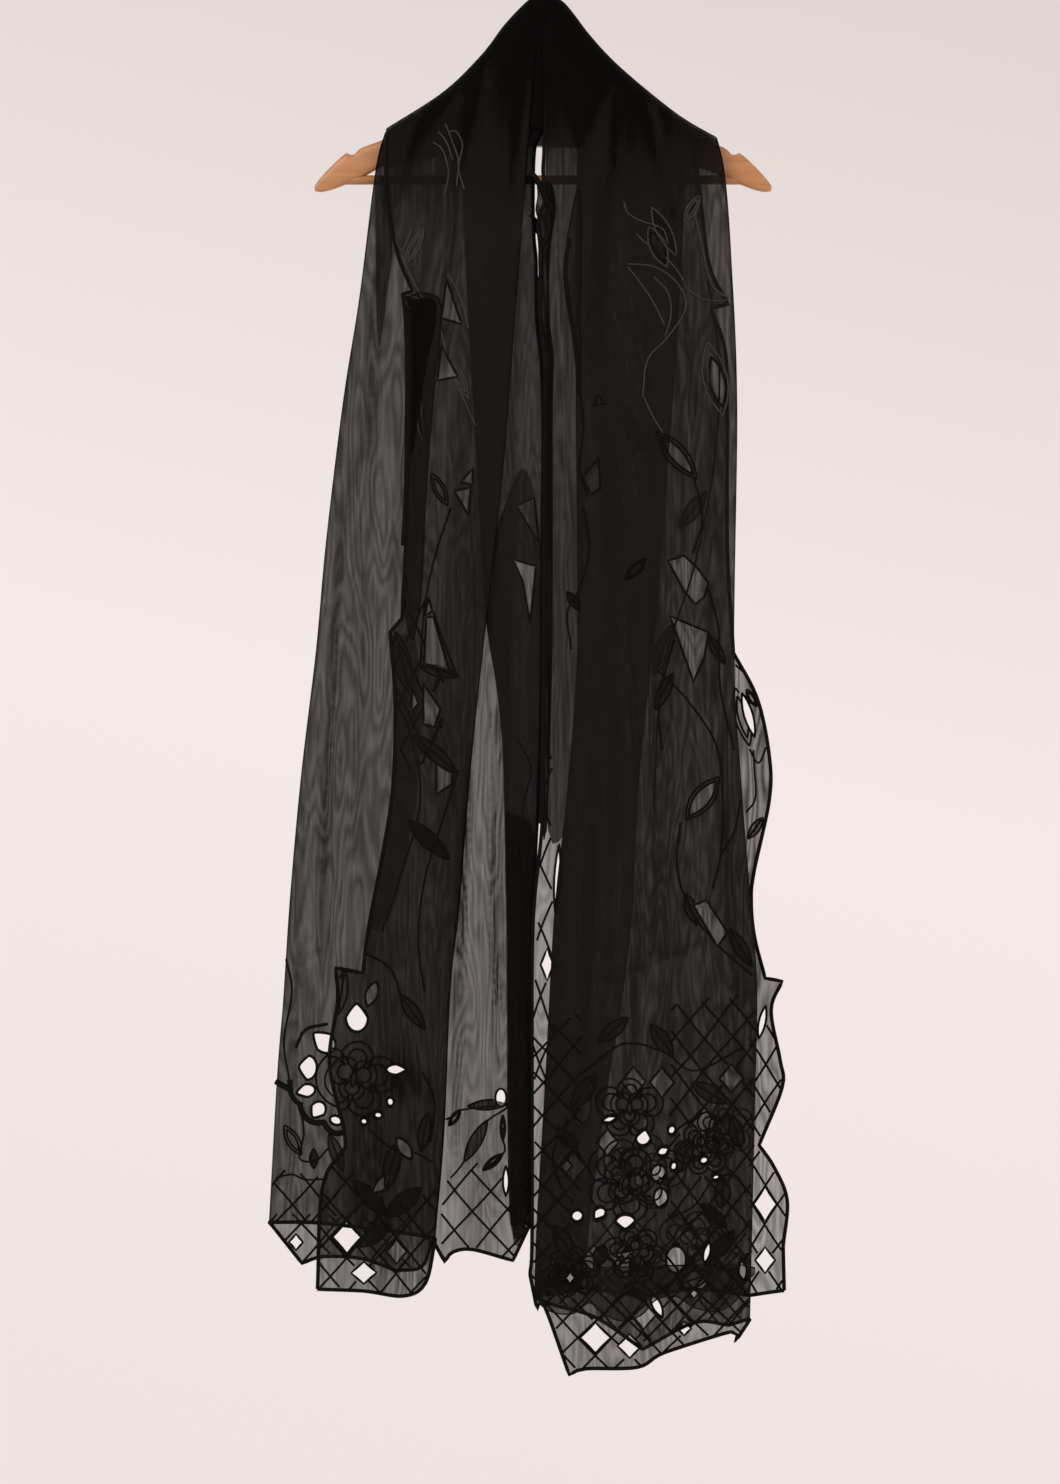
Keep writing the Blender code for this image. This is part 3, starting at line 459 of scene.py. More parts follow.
# Creases, on the tail or panel whose name starts so: route as x and down, half width, height
CREASES = (
    ("left", ((-20, 70), (-60, 200), (-75, 420), (-110, 800)), 13, 2.2),
    ("left", ((-12, 80), (-35, 260), (-60, 560), (-85, 1000)), 10, -1.8),
    ("left", ((-90, 150), (-120, 320), (-150, 640)), 15, 2.0),
    ("left", ((-190, 360), (-205, 620), (-225, 1000)), 12, -1.8),
    ("left", ((-150, 260), (-172, 520), (-190, 900)), 9, 1.6),
    ("left", ((-25, 300), (-30, 600), (-45, 1050)), 9, 1.6),
    ("right", ((25, 65), (52, 180), (60, 420), (70, 900)), 14, 2.4),
    ("right", ((40, 85), (90, 230), (105, 520), (110, 1000)), 12, -2.0),
    ("right", ((75, 125), (125, 300), (140, 600)), 11, 1.8),
    ("right", ((150, 190), (165, 420), (165, 760)), 9, -1.8),
    ("right", ((12, 420), (18, 700), (10, 1150)), 8, 1.5),
    ("right", ((10, 1018), (70, 1024), (165, 987)), 7, 1.6),
    ("right", ((85, 640), (95, 900), (85, 1250)), 12, 1.7),
    ("right", ((88, 123), (71, 184), (68, 222), (60, 262), (48, 420)), 6, 2.0),
    ("right", ((9, 71), (14, 115), (26, 148), (40, 182)), 6, 1.6),
    ("right", ((61, 113), (51, 131), (42, 166), (37, 199)), 5, 1.4),
    ("right", ((92, 136), (105, 180), (116, 222), (130, 272)), 6, -1.4),
    ("right", ((120, 160), (128, 260), (150, 480)), 6, 1.3),
    ("right", ((60, 700), (52, 900), (40, 1180)), 7, -1.4),
    ("right", ((170, 640), (178, 840), (190, 1050)), 6, 1.3),
    ("right_back", ((212, 760), (218, 830), (212, 930)), 6, 1.4),
    ("left", ((-65, 109), (-71, 140), (-75, 180), (-85, 240), (-100, 420)), 6, 1.8),
    ("left", ((-19, 62), (-23, 125), (-27, 172), (-30, 240)), 6, 1.5),
    ("left", ((-93, 136), (-110, 166), (-128, 200), (-148, 260)), 6, -1.4),
    ("left", ((-163, 300), (-173, 468), (-178, 508), (-197, 587), (-222, 900)), 4, 1.6),
    ("left", ((-235, 860), (-243, 1010), (-250, 1230)), 6, 1.3),
    ("left", ((-205, 700), (-216, 860), (-222, 1000)), 6, -1.3),
    ("left_back", ((-72, 790), (-78, 960), (-88, 1240)), 6, 1.4),
    ("left_back", ((-52, 760), (-52, 940), (-46, 1120)), 4, -1.2),
)

# Ridges at the neck that catch a little light: the panels' tail, route as x, down, half width
RIDGES = (
    ("left", ((-9, 92), (-13, 130), (-17, 195)), 5), ("left", ((-52, 122), (-54, 160), (-56, 215)), 9),
    ("left", ((-84, 150), (-98, 180), (-112, 225)), 7), ("right", ((17, 98), (23, 125), (32, 168)), 5),
    ("right", ((72, 140), (58, 175), (50, 235)), 7), ("right", ((88, 124), (79, 152), (74, 205)), 3),
    ("right", ((108, 158), (118, 190), (128, 245)), 7),
)
RIDGE_LIGHT = 0.3

# How far from a fold line the creases are held back, and the line looks dense
FOLD_CALM = 14.0
FOLD_DARK = 1.1

# How much painted shade a crease lays on the cloth, more at the neck for the narrow ones, and how much a slope darkens
# it
CREASE_SHADE = 0.20
CREASE_CORE = 0.4
NECK_SHADE = 0.24
NECK_SHADE_ENDS = (140.0, 470.0)
NECK_WIDEST = 6.0
SLOPE_SHADE = 0.7

# Colour of the cloth, from loose to dense places; the same value carries painted shade in the creases and behind the
# left tail's gap, and a painted highlight on the neck's ridges
CLOTH_COLOURS = (
    (0.0, (0.0108, 0.0089, 0.0081)),
    (1.0, (0.0022, 0.0018, 0.0016)),
    (0.6, (0.0080, 0.0066, 0.0060)),
)

# Colours of the stitching on cords, of their lighter copy on the upper sprays, which is a painted highlight, and of
# the wood, the wire and the floor
CORD_COLOURS = ((0.3, (0.0008, 0.0006, 0.0005)), (0.75, (0.0045, 0.0036, 0.0031)))
PAINTED_HIGHLIGHT_THREAD_COLOURS = ((0.3, (0.016, 0.0135, 0.012)), (0.75, (0.05, 0.044, 0.04)))
WOOD_COLOURS = ((0.3, (0.31, 0.117, 0.034)), (0.72, (0.52, 0.243, 0.083)), (0.5, (0.42, 0.178, 0.056)))
WIRE_COLOURS = ((0.3, (0.62, 0.62, 0.63)), (0.7, (0.78, 0.78, 0.78)))
FLOOR_COLOURS = ((0.3, (0.74, 0.70, 0.68)), (0.7, (0.80, 0.76, 0.74)))

# Share of the light that one layer of the cloth stops, and how strongly its watered figure shows
COVER = 0.715
PLEAT_COVER = 0.56
WATERED = (0.085, 0.05, 0.03)

# Radius of each kind of cord and thread, where edge cords start and the painted highlight of the
# upper sprays ends, and how far they lie in front of the cloth
EDGE_CORD = 1.9
EDGE_START = 188.0
HOLE_CORD = 1.2
TUCK_CORD = 0.7
CORD_OUT = 0.3
LINE_CORD = 1.05
THREAD = 0.8
PAINTED_HIGHLIGHT_END = 520.0
LATTICE_CORD = 1.15
LATTICE_CLEAR = 0.4

# How far the lines of a lattice waver to the sides, and over what height
LATTICE_WAVER = 1.3
LATTICE_WAVE = 17.0

# The gathers make the cloth denser from the neck down to the shoulders
GATHERED = 0.62
GATHER_ENDS = (165.0, 300.0)
PEAK_DENSE = 0.52
PEAK_ENDS = (60.0, 245.0)

# Soft places where a panel covers more and is darker, or less where the amount is below zero; the one on left_back is
# painted shade, the shadow behind the left tail's gap. For each panel: x, down, half width, half height, amount
THICKER_OR_SHADED = {
    "left_back": (
        # Painted shade: the shadow that falls behind the left tail's gap
        (-60, 930, 40, 360, 0.52),
    ),
    "left_front": (
        (-165, 1250, 90, 150, 0.22), (-125, 930, 60, 200, 0.45), (-140, 1220, 60, 110, 0.35),
    ),
    "right_back": (
        (215, 880, 40, 170, 0.34), (225, 1110, 40, 70, 0.25), (227, 1220, 34, 150, -0.14),
    ),
    "right_front": (
        (60, 1390, 60, 30, 0.2), (15, 450, 25, 420, 0.1), (180, 470, 14, 170, 0.25),
        (140, 1010, 50, 110, 0.15),
    ),
    "left_pleat_b": (
        (-24, 650, 48, 440, 0.6),
    ),
    "left_under": (
        (-210, 900, 70, 560, -0.1),
    ),
}

# How far one of those soft places reaches, in its own half sizes squared
THICKER_REACH = 1.6

# Narrow tucks, for each panel: distance in front, shade, corded edge, corners as x, down
TUCKS = {
    "right_front": (
        (
            1.0, 0.95, True,
            (
                (-6, 236), (-5, 250), (-7, 264), (-3, 278), (-1.5, 302), (-0.5, 372), (5.5, 410),
                (4, 470), (3.5, 650), (2.5, 777), (0, 873), (3, 880), (7, 777), (9, 650), (9, 470),
                (10, 410), (6, 372), (6, 320), (8, 292), (12, 262), (8, 238),
            ),
        ),
        (
            -1.2, 0.62, False,
            (
                (3, 200), (36, 200), (34, 236), (33, 340), (35, 650), (33, 740), (24, 850), (20, 885),
                (5, 880), (4, 740), (4, 500), (3, 300),
            ),
        ),
        (1.2, 0.5, True, ((24, 290), (36, 250), (36, 440), (33, 400), (26, 350), (23, 320))),
    ),
    "left_back": (
        (
            1.2, 0.3, False,
            (
                (-54, 600), (-57, 668), (-46, 742), (-40, 812), (-37, 973), (-33, 1268), (-14, 1268),
                (-13.5, 1129), (-11, 964), (-6, 850), (-3, 750), (-2, 600), (-20, 520),
            ),
        ),
        (
            2.1, 0.85, False,
            ((-38, 860), (-36, 973), (-33, 1262), (-15, 1262), (-14, 1129), (-12, 964), (-10, 880)),
        ),
    ),
    "left_front": (
        (
            1.0, 0.66, True,
            (
                (-134, 350), (-134, 379), (-132, 438), (-134, 537), (-138, 610), (-136, 668),
                (-129, 690), (-121, 640), (-117, 557), (-113, 498), (-107, 428), (-101, 359),
                (-118, 346),
            ),
        ),
        (
            1.8, 1.0, False,
            ((-133, 352), (-130, 420), (-131, 505), (-124, 470), (-116, 420), (-106, 358)),
        ),
        (
            1.0, 0.2, False,
            (
                (-150, 686), (-146, 751), (-148, 834), (-157, 901), (-171, 975), (-150, 960),
                (-136, 900), (-124, 830), (-121, 750), (-128, 690),
            ),
        ),
    ),
    "right_under": (
        (
            -1.0, 0.1, True,
            (
                (-8, 1318), (-6, 1346), (8, 1359), (30, 1361), (46, 1350), (58, 1360), (78, 1368),
                (98, 1362), (112, 1347), (132, 1343), (150, 1354), (172, 1358), (190, 1350),
                (198, 1334), (196, 1312),
            ),
        ),
    ),
    "left_under": (
        (
            1.0, 0.5, False,
            ((-167, 236), (-153, 232), (-150, 300), (-155, 348), (-163, 399), (-166, 345)),
        ),
    ),
}

# Leaves, for each panel: x, down, width, length, turn, how they are worked
LEAVES = {
    "right_front": (
        (120, 285, 14, 54, -27, "dark"), (148, 262, 10, 30, 30, "line"),
        (171, 431, 24, 74, -12, "line"), (133, 507, 20, 62, -40, "line"),
        (114, 300, 16, 44, -24, "line"), (158, 848, 22, 54, 38, "line"),
        (147, 958, 12, 34, -20, "vein"), (196, 996, 13, 44, -32, "vein"),
        (120, 742, 12, 40, 25, "vein"), (172, 700, 10, 34, -30, "vein"), (92, 620, 10, 30, 45, "line"),
        (30, 652, 9, 22, -35, "dark"), (170, 1262, 12, 34, -45, "dark"),
        (178, 1292, 15, 38, 38, "dark"), (57, 1302, 14, 24, 20, "dark"), (178, 1240, 16, 30, 5, "vein"),
        (140, 1202, 16, 34, 12, "vein"), (165, 1140, 16, 40, -60, "vein"),
        (40, 1140, 16, 44, 35, "vein"), (20, 1288, 16, 36, -30, "vein"),
        (150, 1325, 16, 36, 70, "vein"), (96, 1338, 14, 34, -65, "vein"),
        (192, 1180, 14, 34, -15, "vein"), (118, 1088, 15, 38, -35, "vein"),
        (70, 1078, 14, 38, 50, "vein"), (24, 1186, 12, 28, -40, "dark"),
    ),
    "right_back": (
        (199, 767, 15, 60, -14, "line"), (212, 878, 9, 26, 35, "vein"), (208, 748, 7, 20, -30, "line"),
        (190, 420, 14, 50, -12, "vein"), (120, 700, 16, 54, 20, "vein"), (90, 480, 14, 46, -20, "vein"),
        (150, 560, 14, 46, 35, "vein"),
    ),
    "left_front": (
        (-122, 362, 15, 44, -50, "dark"), (-103, 541, 12, 36, -27, "line"),
        (-140, 712, 17, 60, -12, "vein"), (-104, 721, 12, 42, -74, "vein"),
        (-108, 803, 14, 58, -49, "vein"), (-114, 889, 16, 58, -47, "dark"),
        (-128, 300, 10, 40, 28, "line"), (-84, 430, 10, 44, -25, "line"),
        (-120, 475, 10, 40, -5, "vein"), (-140, 640, 9, 34, 10, "line"),
        (-200, 1040, 12, 44, 8, "vein"), (-172, 1244, 16, 46, -42, "dark"),
        (-168, 1282, 15, 38, 55, "dark"), (-139, 1250, 18, 46, 50, "dark"),
        (-150, 1210, 15, 44, 15, "vein"), (-118, 1180, 12, 40, 10, "vein"),
        (-130, 1060, 13, 42, -35, "vein"),
    ),
    "left_under": (
        (-249, 1188, 13, 34, -30, "line"), (-228, 1206, 8, 20, 0, "dark"),
    ),
    "left_back": (
        (-55, 1153, 10, 40, 86, "dark"), (-88, 1166, 7, 20, 35, "line"),
        (-67, 1189, 12, 48, 29, "dark"), (-50, 1210, 8, 26, 50, "line"), (-40, 1176, 5, 26, 0, "line"),
        (-150, 1220, 12, 40, 20, "vein"), (-206, 1200, 12, 40, -20, "vein"),
    ),
}

# How dark the filling of a leaf is, and its distance in front of the panel
LEAF_SHADES = {"dark": 0.75, "vein": 0.0}
LEAF_OUT = 0.6

# Shares of a leaf's width and length for its inner line and its filling, and length of its vein
LEAF_INNER = (0.55, 0.72)
LEAF_FILL = (0.9, 0.95)
LEAF_VEIN = 0.8

# Vines, for each panel: their route as x, down
VINES = {
    "left_front": (
        ((-97, 178), (-90, 196), (-84, 216), (-86, 240)),
        ((-93, 186), (-86, 186), (-80, 200), (-84, 222), (-78, 244)),
        ((-110, 196), (-100, 204), (-94, 226), (-98, 250)), ((-104, 186), (-96, 196), (-90, 214)),
        ((-153, 276), (-141, 303), (-130, 282)),
        ((-141, 308), (-124, 344), (-104, 376), (-92, 420), (-67, 478)),
        ((-95, 327), (-82, 350), (-74, 382)), ((-109, 662), (-99, 692), (-85, 727)),
        ((-146, 750), (-130, 790), (-122, 850), (-140, 920), (-160, 980)),
        ((-92, 560), (-108, 610), (-118, 660), (-122, 720)),
        ((-84, 820), (-100, 870), (-118, 930), (-124, 990), (-118, 1040)),
        ((-206, 1020), (-190, 1000), (-172, 1004), (-150, 1020), (-138, 1060)),
        ((-110, 1210), (-128, 1200), (-150, 1196), (-174, 1176)),
        ((-120, 1120), (-108, 1150), (-112, 1190)),
    ),
    "right_front": (
        ((80, 255), (84, 266), (95, 273), (112, 279), (120, 284), (124, 297)),
        ((93, 287), (102, 296), (117, 306), (134, 325), (142, 339)),
        ((84, 317), (108, 319), (128, 331), (141, 350), (139, 368), (122, 392), (104, 412), (99, 447)),
        ((110, 330), (124, 346), (127, 368), (121, 390)),
        ((84, 320), (97, 336), (110, 356), (121, 378)),
        ((141, 340), (160, 352), (184, 352), (168, 338), (158, 300), (150, 262)),
        ((99, 447), (110, 470), (120, 486)), ((150, 530), (158, 570), (148, 606)),
        ((115, 722), (142, 749), (172, 796), (178, 854), (176, 905), (168, 938)),
        ((136, 872), (133, 917), (146, 958), (172, 992), (208, 1024)),
        ((130, 690), (122, 720), (115, 760), (118, 800)),
        ((164, 640), (174, 680), (176, 740), (190, 800)),
        ((40, 560), (46, 600), (36, 640), (24, 664), (28, 700)),
        ((35, 430), (40, 480), (36, 520), (44, 548)), ((176, 905), (190, 880), (196, 850)),
        ((40, 1120), (80, 1092), (120, 1100), (150, 1118), (198, 1096)),
        ((128, 1180), (150, 1166), (172, 1172), (190, 1150)),
        ((130, 1262), (150, 1252), (168, 1228), (190, 1222), (203, 1240)),
        ((30, 1250), (16, 1230), (10, 1200), (24, 1166)),
        ((150, 1290), (166, 1310), (190, 1316), (203, 1300)),
    ),
    "right_back": (
        ((206, 799), (215, 813), (223, 797)), ((210, 800), (211, 818), (212, 848), (203, 862)),
        ((192, 715), (205, 728), (214, 748)),
        ((165, 330), (176, 420), (170, 520), (150, 620), (120, 720), (110, 860)),
    ),
    "left_under": (
        ((-240, 1160), (-238, 1182), (-242, 1206), (-226, 1208), (-214, 1196)),
        ((-266, 1226), (-250, 1222), (-236, 1227), (-214, 1226)),
        ((-258, 1000), (-250, 1040), (-258, 1090), (-252, 1130)),
    ),
    "left_back": (
        ((-97, 1168), (-88, 1164), (-80, 1158), (-36, 1154), (-52, 1166), (-56, 1170)),
        ((-79, 1210), (-84, 1217), (-92, 1226)),
        ((-39, 1176), (-42, 1182), (-38, 1195), (-41, 1203), (-60, 1218)),
        ((-24, 790), (-12, 820), (-20, 860), (-10, 900)),
    ),
}

# Thick stitching and rolled edges, for each panel: radius, route as x, down
SCALLOPS = {
    "left_under": (
        (3.0, ((-266, 1130), (-259, 1134), (-250, 1139))),
        (2.6, ((-252, 1128), (-251, 1141), (-245, 1150), (-239, 1153))),
        (2.9, ((-242, 1153), (-238, 1163), (-229, 1170), (-217, 1170))),
        (2.9, ((-219, 1168), (-213, 1177), (-205, 1181), (-197, 1179))),
        (1.1, ((-214, 1102), (-224, 1116), (-225, 1134), (-216, 1148), (-202, 1156))),
        (0.9, ((-210, 1112), (-216, 1122), (-216, 1134), (-209, 1144))),
        (1.6, ((-246, 1096), (-236, 1078), (-214, 1072))),
    ),
    "right_front": (
        (2.8, ((-13, 226), (-7, 232), (-1, 244), (5, 256), (10, 261))),
        (2.6, ((10, 261), (5, 266), (6, 280), (3, 292), (-2, 302), (-2, 330))),
        (2.1, ((-3.5, 330), (-4, 350), (-3, 375), (0.5, 400), (2, 420), (1, 470))),
        (2.1, ((1, 470), (1, 560), (0.5, 650), (-0.5, 777), (-2.5, 873))),
        (2.0, ((26, 292), (22, 320), (24, 350), (31, 392), (36, 440))),
    ),
    "left_pleat_b": (
        (1.8, ((-13, 266), (-8, 270), (-6, 277), (-8, 284))),
    ),
    "left_front": (
        (2.2, ((-139, 346), (-136, 379), (-135, 438), (-136, 537), (-139, 597))),
    ),
}

# Rings of petals: inner and outer end, turn in petals, and how many fewer there are. Lines of a
# petal: share of its length and width. Width and length of the bud. All in shares of a flower.
PETAL_RINGS = ((0.42, 1.0, 0.0, 0), (0.14, 0.58, 0.5, 2))
PETAL_LINES = ((1.0, 1.22), (0.66, 0.8))
PETAL_POINTS = 15
BUD = (0.16, 0.4)

# Flowers, for each panel: x, down, radius, petals, turn
FLOWERS = {
    "left_front": (
        (-188, 1126, 40, 5, 10),
    ),
    "right_front": (
        (82, 1230, 40, 5, 25), (86, 1156, 32, 5, 0), (28, 1318, 27, 6, 15), (92, 1300, 30, 6, 40),
        (160, 1195, 28, 6, 20),
    ),
    "right_under": (
        (150, 1290, 34, 5, 10),
    ),
    "right_back": (
        (100, 1220, 40, 5, 12), (180, 1180, 30, 6, 0),
    ),
}

# Corded lattices, for each panel: middle of one mesh as x, down, its width and height, corners
LATTICES = {
    "left_front": (
        (
            -195, 1284, 32, 37,
            ((-226, 1338), (-222, 1226), (-196, 1192), (-170, 1262), (-106, 1236), (-104, 1345)),
        ),
        (-128, 700, 26, 50, ((-150, 690), (-120, 640), (-96, 700), (-100, 800), (-140, 830))),
    ),
    "left_under": (
        (-232, 1252, 36, 40, ((-274, 1290), (-272, 1215), (-205, 1225), (-205, 1290))),
    ),
    "left_back": (
        (-70, 1278, 35, 40, ((-104, 1320), (-101, 1232), (-60, 1208), (-12, 1225), (-12, 1320))),
        (-240, 1290, 34, 38, ((-276, 1330), (-274, 1262), (-130, 1262), (-130, 1330))),
    ),
    "right_front": (
        (52, 1384, 33, 33, ((-14, 1425), (-14, 1330), (206, 1330), (206, 1425))),
        (30, 1214, 30, 34, ((-12, 1345), (-12, 1080), (40, 1060), (36, 1345))),
        (160, 1170, 28, 34, ((120, 1345), (126, 1050), (213, 1040), (211, 1345))),
        (-2, 1013, 26, 66, ((-14, 1130), (3, 800), (9, 800), (8, 900), (14, 1060), (6, 1130))),
    ),
    "right_under": (
        (100, 1362, 27, 31, ((-12, 1400), (-12, 1300), (206, 1300), (206, 1400))),
    ),
    "right_back": (
        (222, 1254, 27, 40, ((204, 1345), (205, 1060), (245, 1060), (246, 1345))),
        (100, 1300, 36, 44, ((-10, 1350), (-10, 1262), (204, 1262), (204, 1350))),
    ),
}

# The lap that closes the neck in front of the hook's stem: its corners as x, down, and where
# its layers lie in the stack of pleats
LAP = ((-14, 50), (14, 50), (17, 193), (2, 193), (1, 183), (-14, 181))
LAP_ORDERS = (0.5, 1.5, 2.5, 3.5)

# Cut of each stretch that shows: width and length
SHEETS = {
    "left_front": (100, 1290),
    "left_under": (155, 1240),
    "left_back": (205, 1270),
    "left_pleat_a": (50, 1200),
    "left_pleat_b": (49, 1200),
    "right_front": (190, 1340),
    "right_under": (170, 1330),
    "right_pleat_a": (80, 1270),
    "right_pleat_b": (80, 1270),
    "right_back": (175, 1280),
    "neck_back": (330, 240),
}

# Floor: its height, its opposite corners, and how far from its middle it fades out
FLOOR = -1640.0
FLOOR_BOX = ((-1500.0, -2600.0, FLOOR), (1500.0, 250.0, FLOOR))
FLOOR_FADE = (500.0, 1400.0)

# Lamps: name, place in metres, size, power
LAMPS = (
    ("key", (-1.6, -2.6, 0.9), 1.8, 40.0),
    ("fill", (2.2, -2.2, -0.3), 2.2, 18.0),
)

# Where the lamps point
LAMP_AIM = (0.0, 0.0, -0.7)

# Light all round, from below to above
WORLD_COLOURS = (
    (0.0, (0.80, 0.73, 0.71)),
    (1.0, (0.70, 0.63, 0.62)),
    (0.41, (0.85, 0.775, 0.755)),
    (0.5, (0.90, 0.82, 0.80)),
    (0.60, (0.75, 0.675, 0.66)),
)


def soft_step(value):
    """0 to 1 with level ends."""
    t = np.clip(value, 0.0, 1.0)
    return t * t * (3.0 - 2.0 * t)


def smooth_line(points, step):
    """Points along a smooth line through the given ones, about a step apart."""
    p = np.asarray(points, float)
    if len(p) == 2:
        count = max(1, round(float(np.hypot(*(p[1] - p[0]))) / step))
        return p[0] + (p[1] - p[0]) * np.linspace(0, 1, count + 1)[:, None]
    tangent = np.gradient(p, axis=0)
    line = [p[0]]
    for i in range(len(p) - 1):
        a, b, ta, tb = p[i], p[i + 1], tangent[i], tangent[i + 1]
        count = max(1, round(float(np.hypot(*(b - a))) / step))
        for t in np.linspace(0, 1, count + 1)[1:]:
            t2, t3 = t * t, t * t * t
            line.append(
                (2 * t3 - 3 * t2 + 1) * a
                + (t3 - 2 * t2 + t) * ta
                + (3 * t2 - 2 * t3) * b
                + (t3 - t2) * tb
            )
    return np.array(line)


def tipped_line(rows, step):
    """A line through rows of two numbers, with TIP added at a tip, smooth between its tips."""
    run, parts = [rows[0][:2]], []
    for row in rows[1:]:
        run.append(row[:2])
        if len(row) > 2:
            parts.append(smooth_line(run, step))
            run = [row[:2]]
    if len(run) > 1:
        parts.append(smooth_line(run, step))
    return np.vstack([parts[0], *(part[1:] for part in parts[1:])])


def line_distance(points, line):
    """Distance from points to an open line, both in the front view."""
    best = np.full(len(points), 1e9)
    for a, b in zip(line[:-1], line[1:]):
        along = b - a
        t = np.clip(((points - a) @ along) / max(float(along @ along), 1e-9), 0, 1)
        best = np.minimum(best, np.hypot(*(points - a - t[:, None] * along).T))
    return best


def rejoined(loop):
    """A loop whose first point comes again at its end."""
    return np.vstack([loop, loop[:1]])


def loop_distance(points, loop):
    """Distance from points to a closed loop."""
    return line_distance(points, rejoined(loop))


def route_nearness(points, route, half_width):
    """1 on a smooth route in the front view, and softly less beside it."""
    away = line_distance(points, smooth_line(route, ROUTE_STEP))
    return np.exp(-((away / half_width) ** 2))


RIDGE_X, RIDGE_DOWN = smooth_line(RIDGE, LINE_STEP).T
RIDGE_SLOPE = np.gradient(RIDGE_DOWN, RIDGE_X)
EDGE_LINES = {name: tipped_line(rows, EDGE_STEP)[:, ::-1] for name, rows in EDGES.items()}


def ridge_down(x, inward=0.0):
    """Height of the cloth's top outline at x, or of a line that far inside it."""
    lean = np.sqrt(1.0 + np.interp(x, RIDGE_X, RIDGE_SLOPE) ** 2)
    return np.interp(x, RIDGE_X, RIDGE_DOWN) + inward * lean


def edge_x(name, down):
    """Where an edge lies across, at a height."""
    line = EDGE_LINES[name]
    order = np.argsort(line[:, 1], kind="stable")
    return np.interp(down, line[order, 1], line[order, 0])


def top_corner(name, inward):
    """Where an edge crosses a line that far inside the top outline."""
    down = 150.0
    for _ in range(80):
        down = 0.5 * down + 0.5 * float(ridge_down(edge_x(name, down), inward))
    return np.array([float(edge_x(name, down)), down])


def inside(points, loop):
    """Which points lie in a loop, both in the front view."""
    points = np.atleast_2d(points)
    found = np.zeros(len(points), bool)
    for (ax, az), (bx, bz) in zip(loop, np.roll(loop, -1, 0)):
        spans = (az > points[:, 1]) != (bz > points[:, 1])
        if spans.any():
            crossing = ax + (points[:, 1] - az) * (bx - ax) / ((bz - az) or 1e-9)
            found ^= spans & (points[:, 0] < crossing)
    return found


def between(down, heights):
    """0 above the first height, 1 below the second, and soft between them."""
    return soft_step((down - heights[0]) / (heights[1] - heights[0]))


def wave(x, down):
    """The long soft flutes that both tails share, deeper towards the hem."""
    rise = sum(
        deep * np.sin(2 * math.pi * (x + lean * down) / apart + phase)
        for deep, apart, lean, phase in FLUTES
    )
    return between(down, FLUTES_GROW) * rise


def stack_spacing(down):
    """Distance from one pleat to the next."""
    return PEAK_SPACING + (ARM_SPACING - PEAK_SPACING) * between(down, SPACING_GROWS)


def stack_depth(order, down):
    """Distance in front of the hanger's middle plane of the pleat of that order."""
    base = PEAK_DEPTH + (ARM_DEPTH - PEAK_DEPTH) * between(down, DEPTH_GROWS)
    return base + order * stack_spacing(down)


def turn_height(order):
    """How far below the top outline a pleat has finished its turn over the top."""
    return INNER_TURN if order < 2 else OUTER_TURN


def fold_turn(away, radius):
    """How far a quarter turn has gone at a distance from the fold line."""
    u = np.clip(away / radius, 0.0, 1.0)
    return 1.0 - np.sqrt(np.clip(1.0 - (1.0 - u) ** 2, 0.0, 1.0))


def levelled(x, down):
    """Height in a view that levels and widens the zone of the turn, to join its points well."""
    below = np.maximum(down - ridge_down(x), 0.0)
    level = 1.0 - soft_step((down - TOP_ZONE) / LEVEL_REACH)
    widened = OUTER_TURN * (1.0 - np.exp(-below / INNER_TURN))
    return down - level * (ridge_down(x) - TOP_ZONE) + widened


def panel_side(edge, ridge, order):
    """One side of a panel from its top corner down, close where it turns over the top."""
    inward = PLEAT_TOP if ridge is None else ridge * RIDGE_STEP
    turn = (0.0,) if ridge is None else (0.0, *TURN_PARTS)
    high = [top_corner(edge, inward + part * turn_height(order)) for part in turn]
    line = EDGE_LINES[edge]
    return np.array([*high, *line[line[:, 1] > high[-1][1] + 0.4 * EDGE_STEP]])


def panel_top(panel):
    """The line along which a panel turns over the top, or at which a pleat ends."""
    _, _, ridge, left, _, right, _ = panel
    inward = PLEAT_TOP if ridge is None else ridge * RIDGE_STEP
    start, end = top_corner(left, inward), top_corner(right, inward)
    across = TOP_COLUMNS[(TOP_COLUMNS > start[0] + 2) & (TOP_COLUMNS < end[0] - 2)]
    middle = np.column_stack([across, ridge_down(across, inward)])
    return np.vstack([start, middle, end])


def panel_hem(panel):
    """A panel's hem from its left corner to its right one."""
    name, _, _, left, _, right, _ = panel
    corners = EDGE_LINES[left][-1], EDGE_LINES[right][-1]
    return tipped_line([(*corners[0], TIP), *HEMS[name], (*corners[1], TIP)], EDGE_STEP)


def outline(panel):
    """A panel's closed outline in the front view, as x and down."""
    _, order, ridge, left, _, right, _ = panel
    sides = panel_side(left, ridge, order), panel_side(right, ridge, order)
    return np.vstack(
        [sides[0], panel_hem(panel)[1:-1], sides[1][::-1], panel_top(panel)[1:-1][::-1]]
    )


